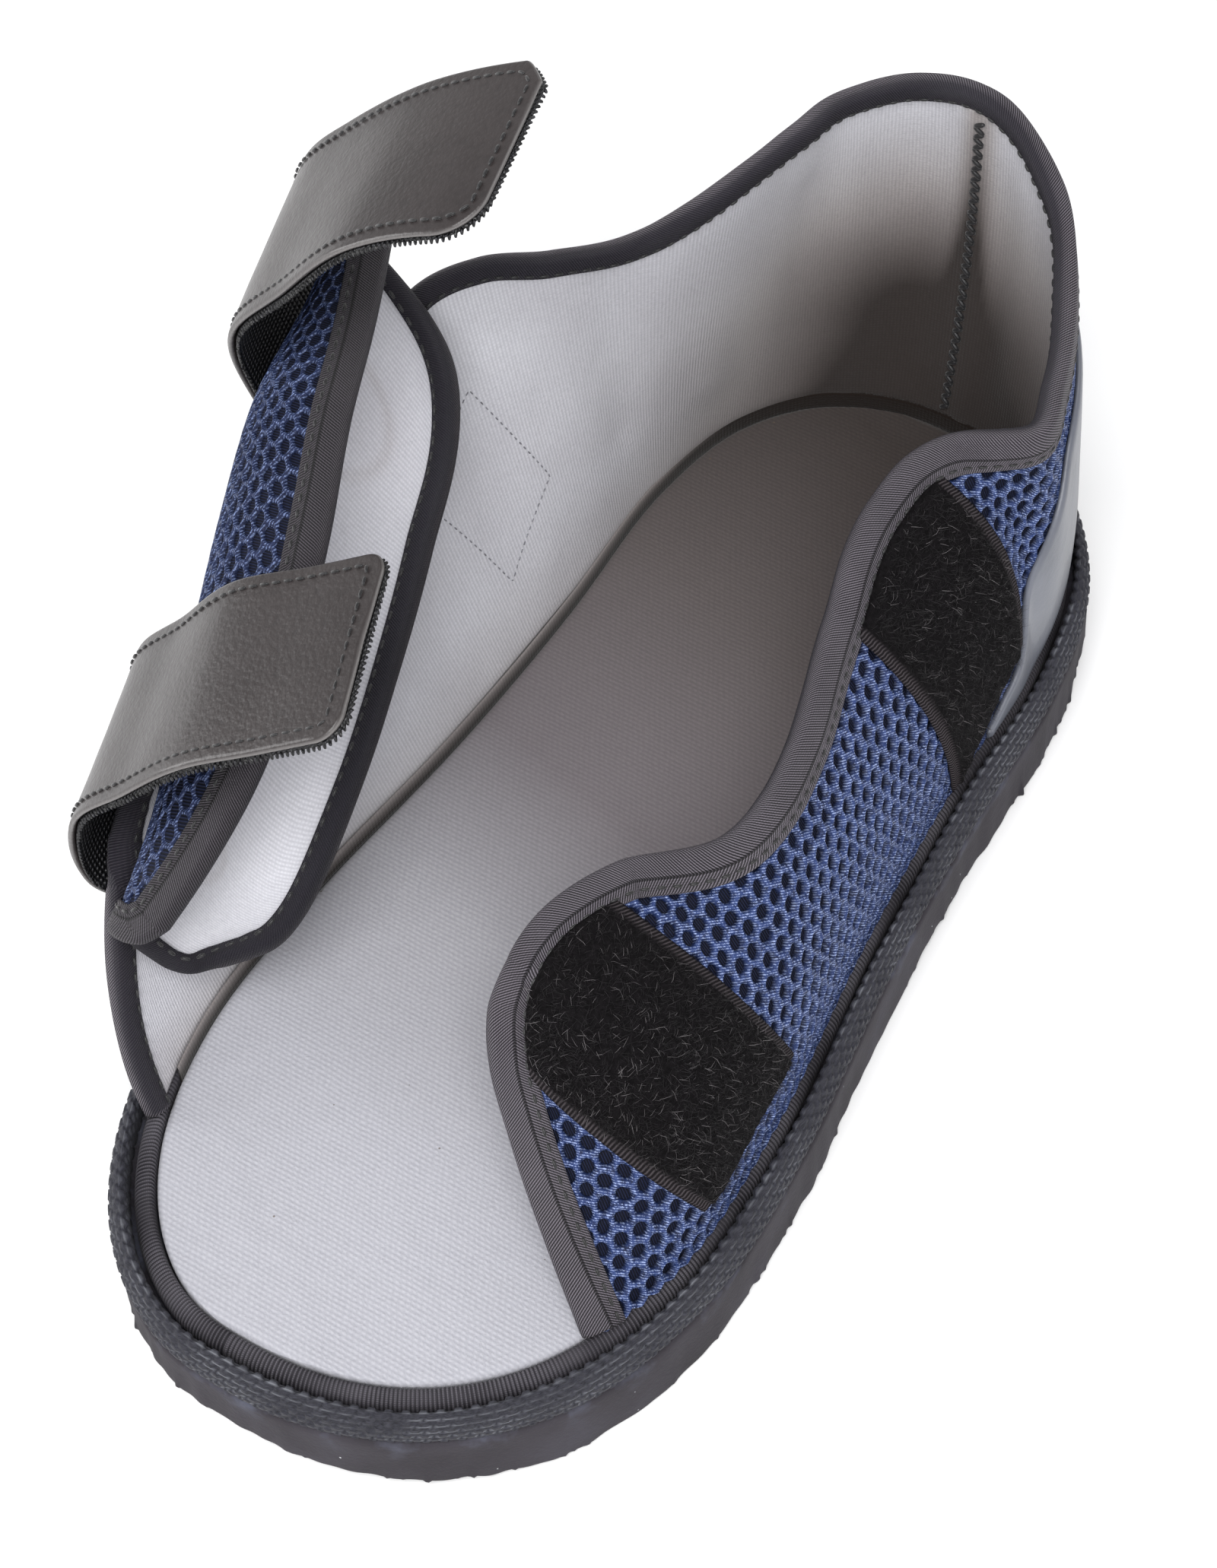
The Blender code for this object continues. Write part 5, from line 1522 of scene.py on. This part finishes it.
# floor, lights and camera; the camera's numbers come from the same fit
studio = {
    "floorHalf": 3.0,
    "key": {"at": (0.32, -0.65, 1.12), "size": 0.8, "power": 17.5},
    "fill": {"at": (0.9, -0.5, 0.7), "size": 1.0, "power": 3.0},
    "rear": {"at": (-0.3, 1.0, 1.0), "size": 0.9, "power": 4.0},
    "left": {"at": (-1.0, -0.45, 0.20), "size": 0.6, "power": 7.0},
    "aim": (0, 0, 0.03),
    "sky": 0.46,
    "camera": {"azimuth": 0.61394, "elevation": 0.92509, "roll": -0.05347, "distance": 0.66928,
               "target": (-0.00907, 0.00474, 0.03), "lens": 75.0},
}


def makeFloor():
    half = studio["floorHalf"]
    line = np.linspace(-half, half, 3)
    x, y = np.meshgrid(line, line, indexing="ij")
    mesh = bpy.data.meshes.new("floor")
    grid = np.stack((x, y, np.full(x.shape, -0.0002)), axis=-1)
    mesh.from_pydata(grid.reshape(-1, 3).tolist(), [], gridCorners(3, 3).tolist())
    mesh.materials.append(floorFinish())
    floor = bpy.data.objects.new("floor", mesh)
    bpy.context.scene.collection.objects.link(floor)


def makeLight(name):
    spec = studio[name]
    lamp = bpy.data.lights.new(name, "AREA")
    lamp.energy = spec["power"]
    lamp.size = spec["size"]
    thing = bpy.data.objects.new(name, lamp)
    thing.location = spec["at"]
    way = Vector(studio["aim"]) - Vector(spec["at"])
    thing.rotation_euler = way.to_track_quat("-Z", "Y").to_euler()
    bpy.context.scene.collection.objects.link(thing)


def makeCamera():
    spec = studio["camera"]
    azimuth, elevation, roll = spec["azimuth"], spec["elevation"], spec["roll"]
    back = Vector((math.sin(azimuth) * math.cos(elevation), -math.cos(azimuth) * math.cos(elevation),
                   math.sin(elevation)))
    right = (-back).cross(Vector((0, 0, 1))).normalized()
    up = right.cross(-back)
    across = right * math.cos(roll) + up * math.sin(roll)
    rising = -right * math.sin(roll) + up * math.cos(roll)
    place = Vector(spec["target"]) + back * spec["distance"]
    lens = bpy.data.cameras.new("camera")
    lens.sensor_fit = "VERTICAL"
    lens.sensor_height = 36
    lens.lens = spec["lens"]
    camera = bpy.data.objects.new("camera", lens)
    camera.matrix_world = Matrix((*zip(across, rising, back, place), (0, 0, 0, 1)))
    bpy.context.scene.collection.objects.link(camera)
    bpy.context.scene.camera = camera


makeFloor()
for name in ("key", "fill", "rear", "left"):
    makeLight(name)
sky = bpy.data.worlds.new("sky")
sky.use_nodes = True
sky.node_tree.nodes["Background"].inputs[0].default_value = (1.0, 1.0, 1.0, 1.0)
sky.node_tree.nodes["Background"].inputs[1].default_value = studio["sky"]
bpy.context.scene.world = sky
bpy.context.scene.view_settings.view_transform = "Standard"
makeCamera()
print("studio ready")
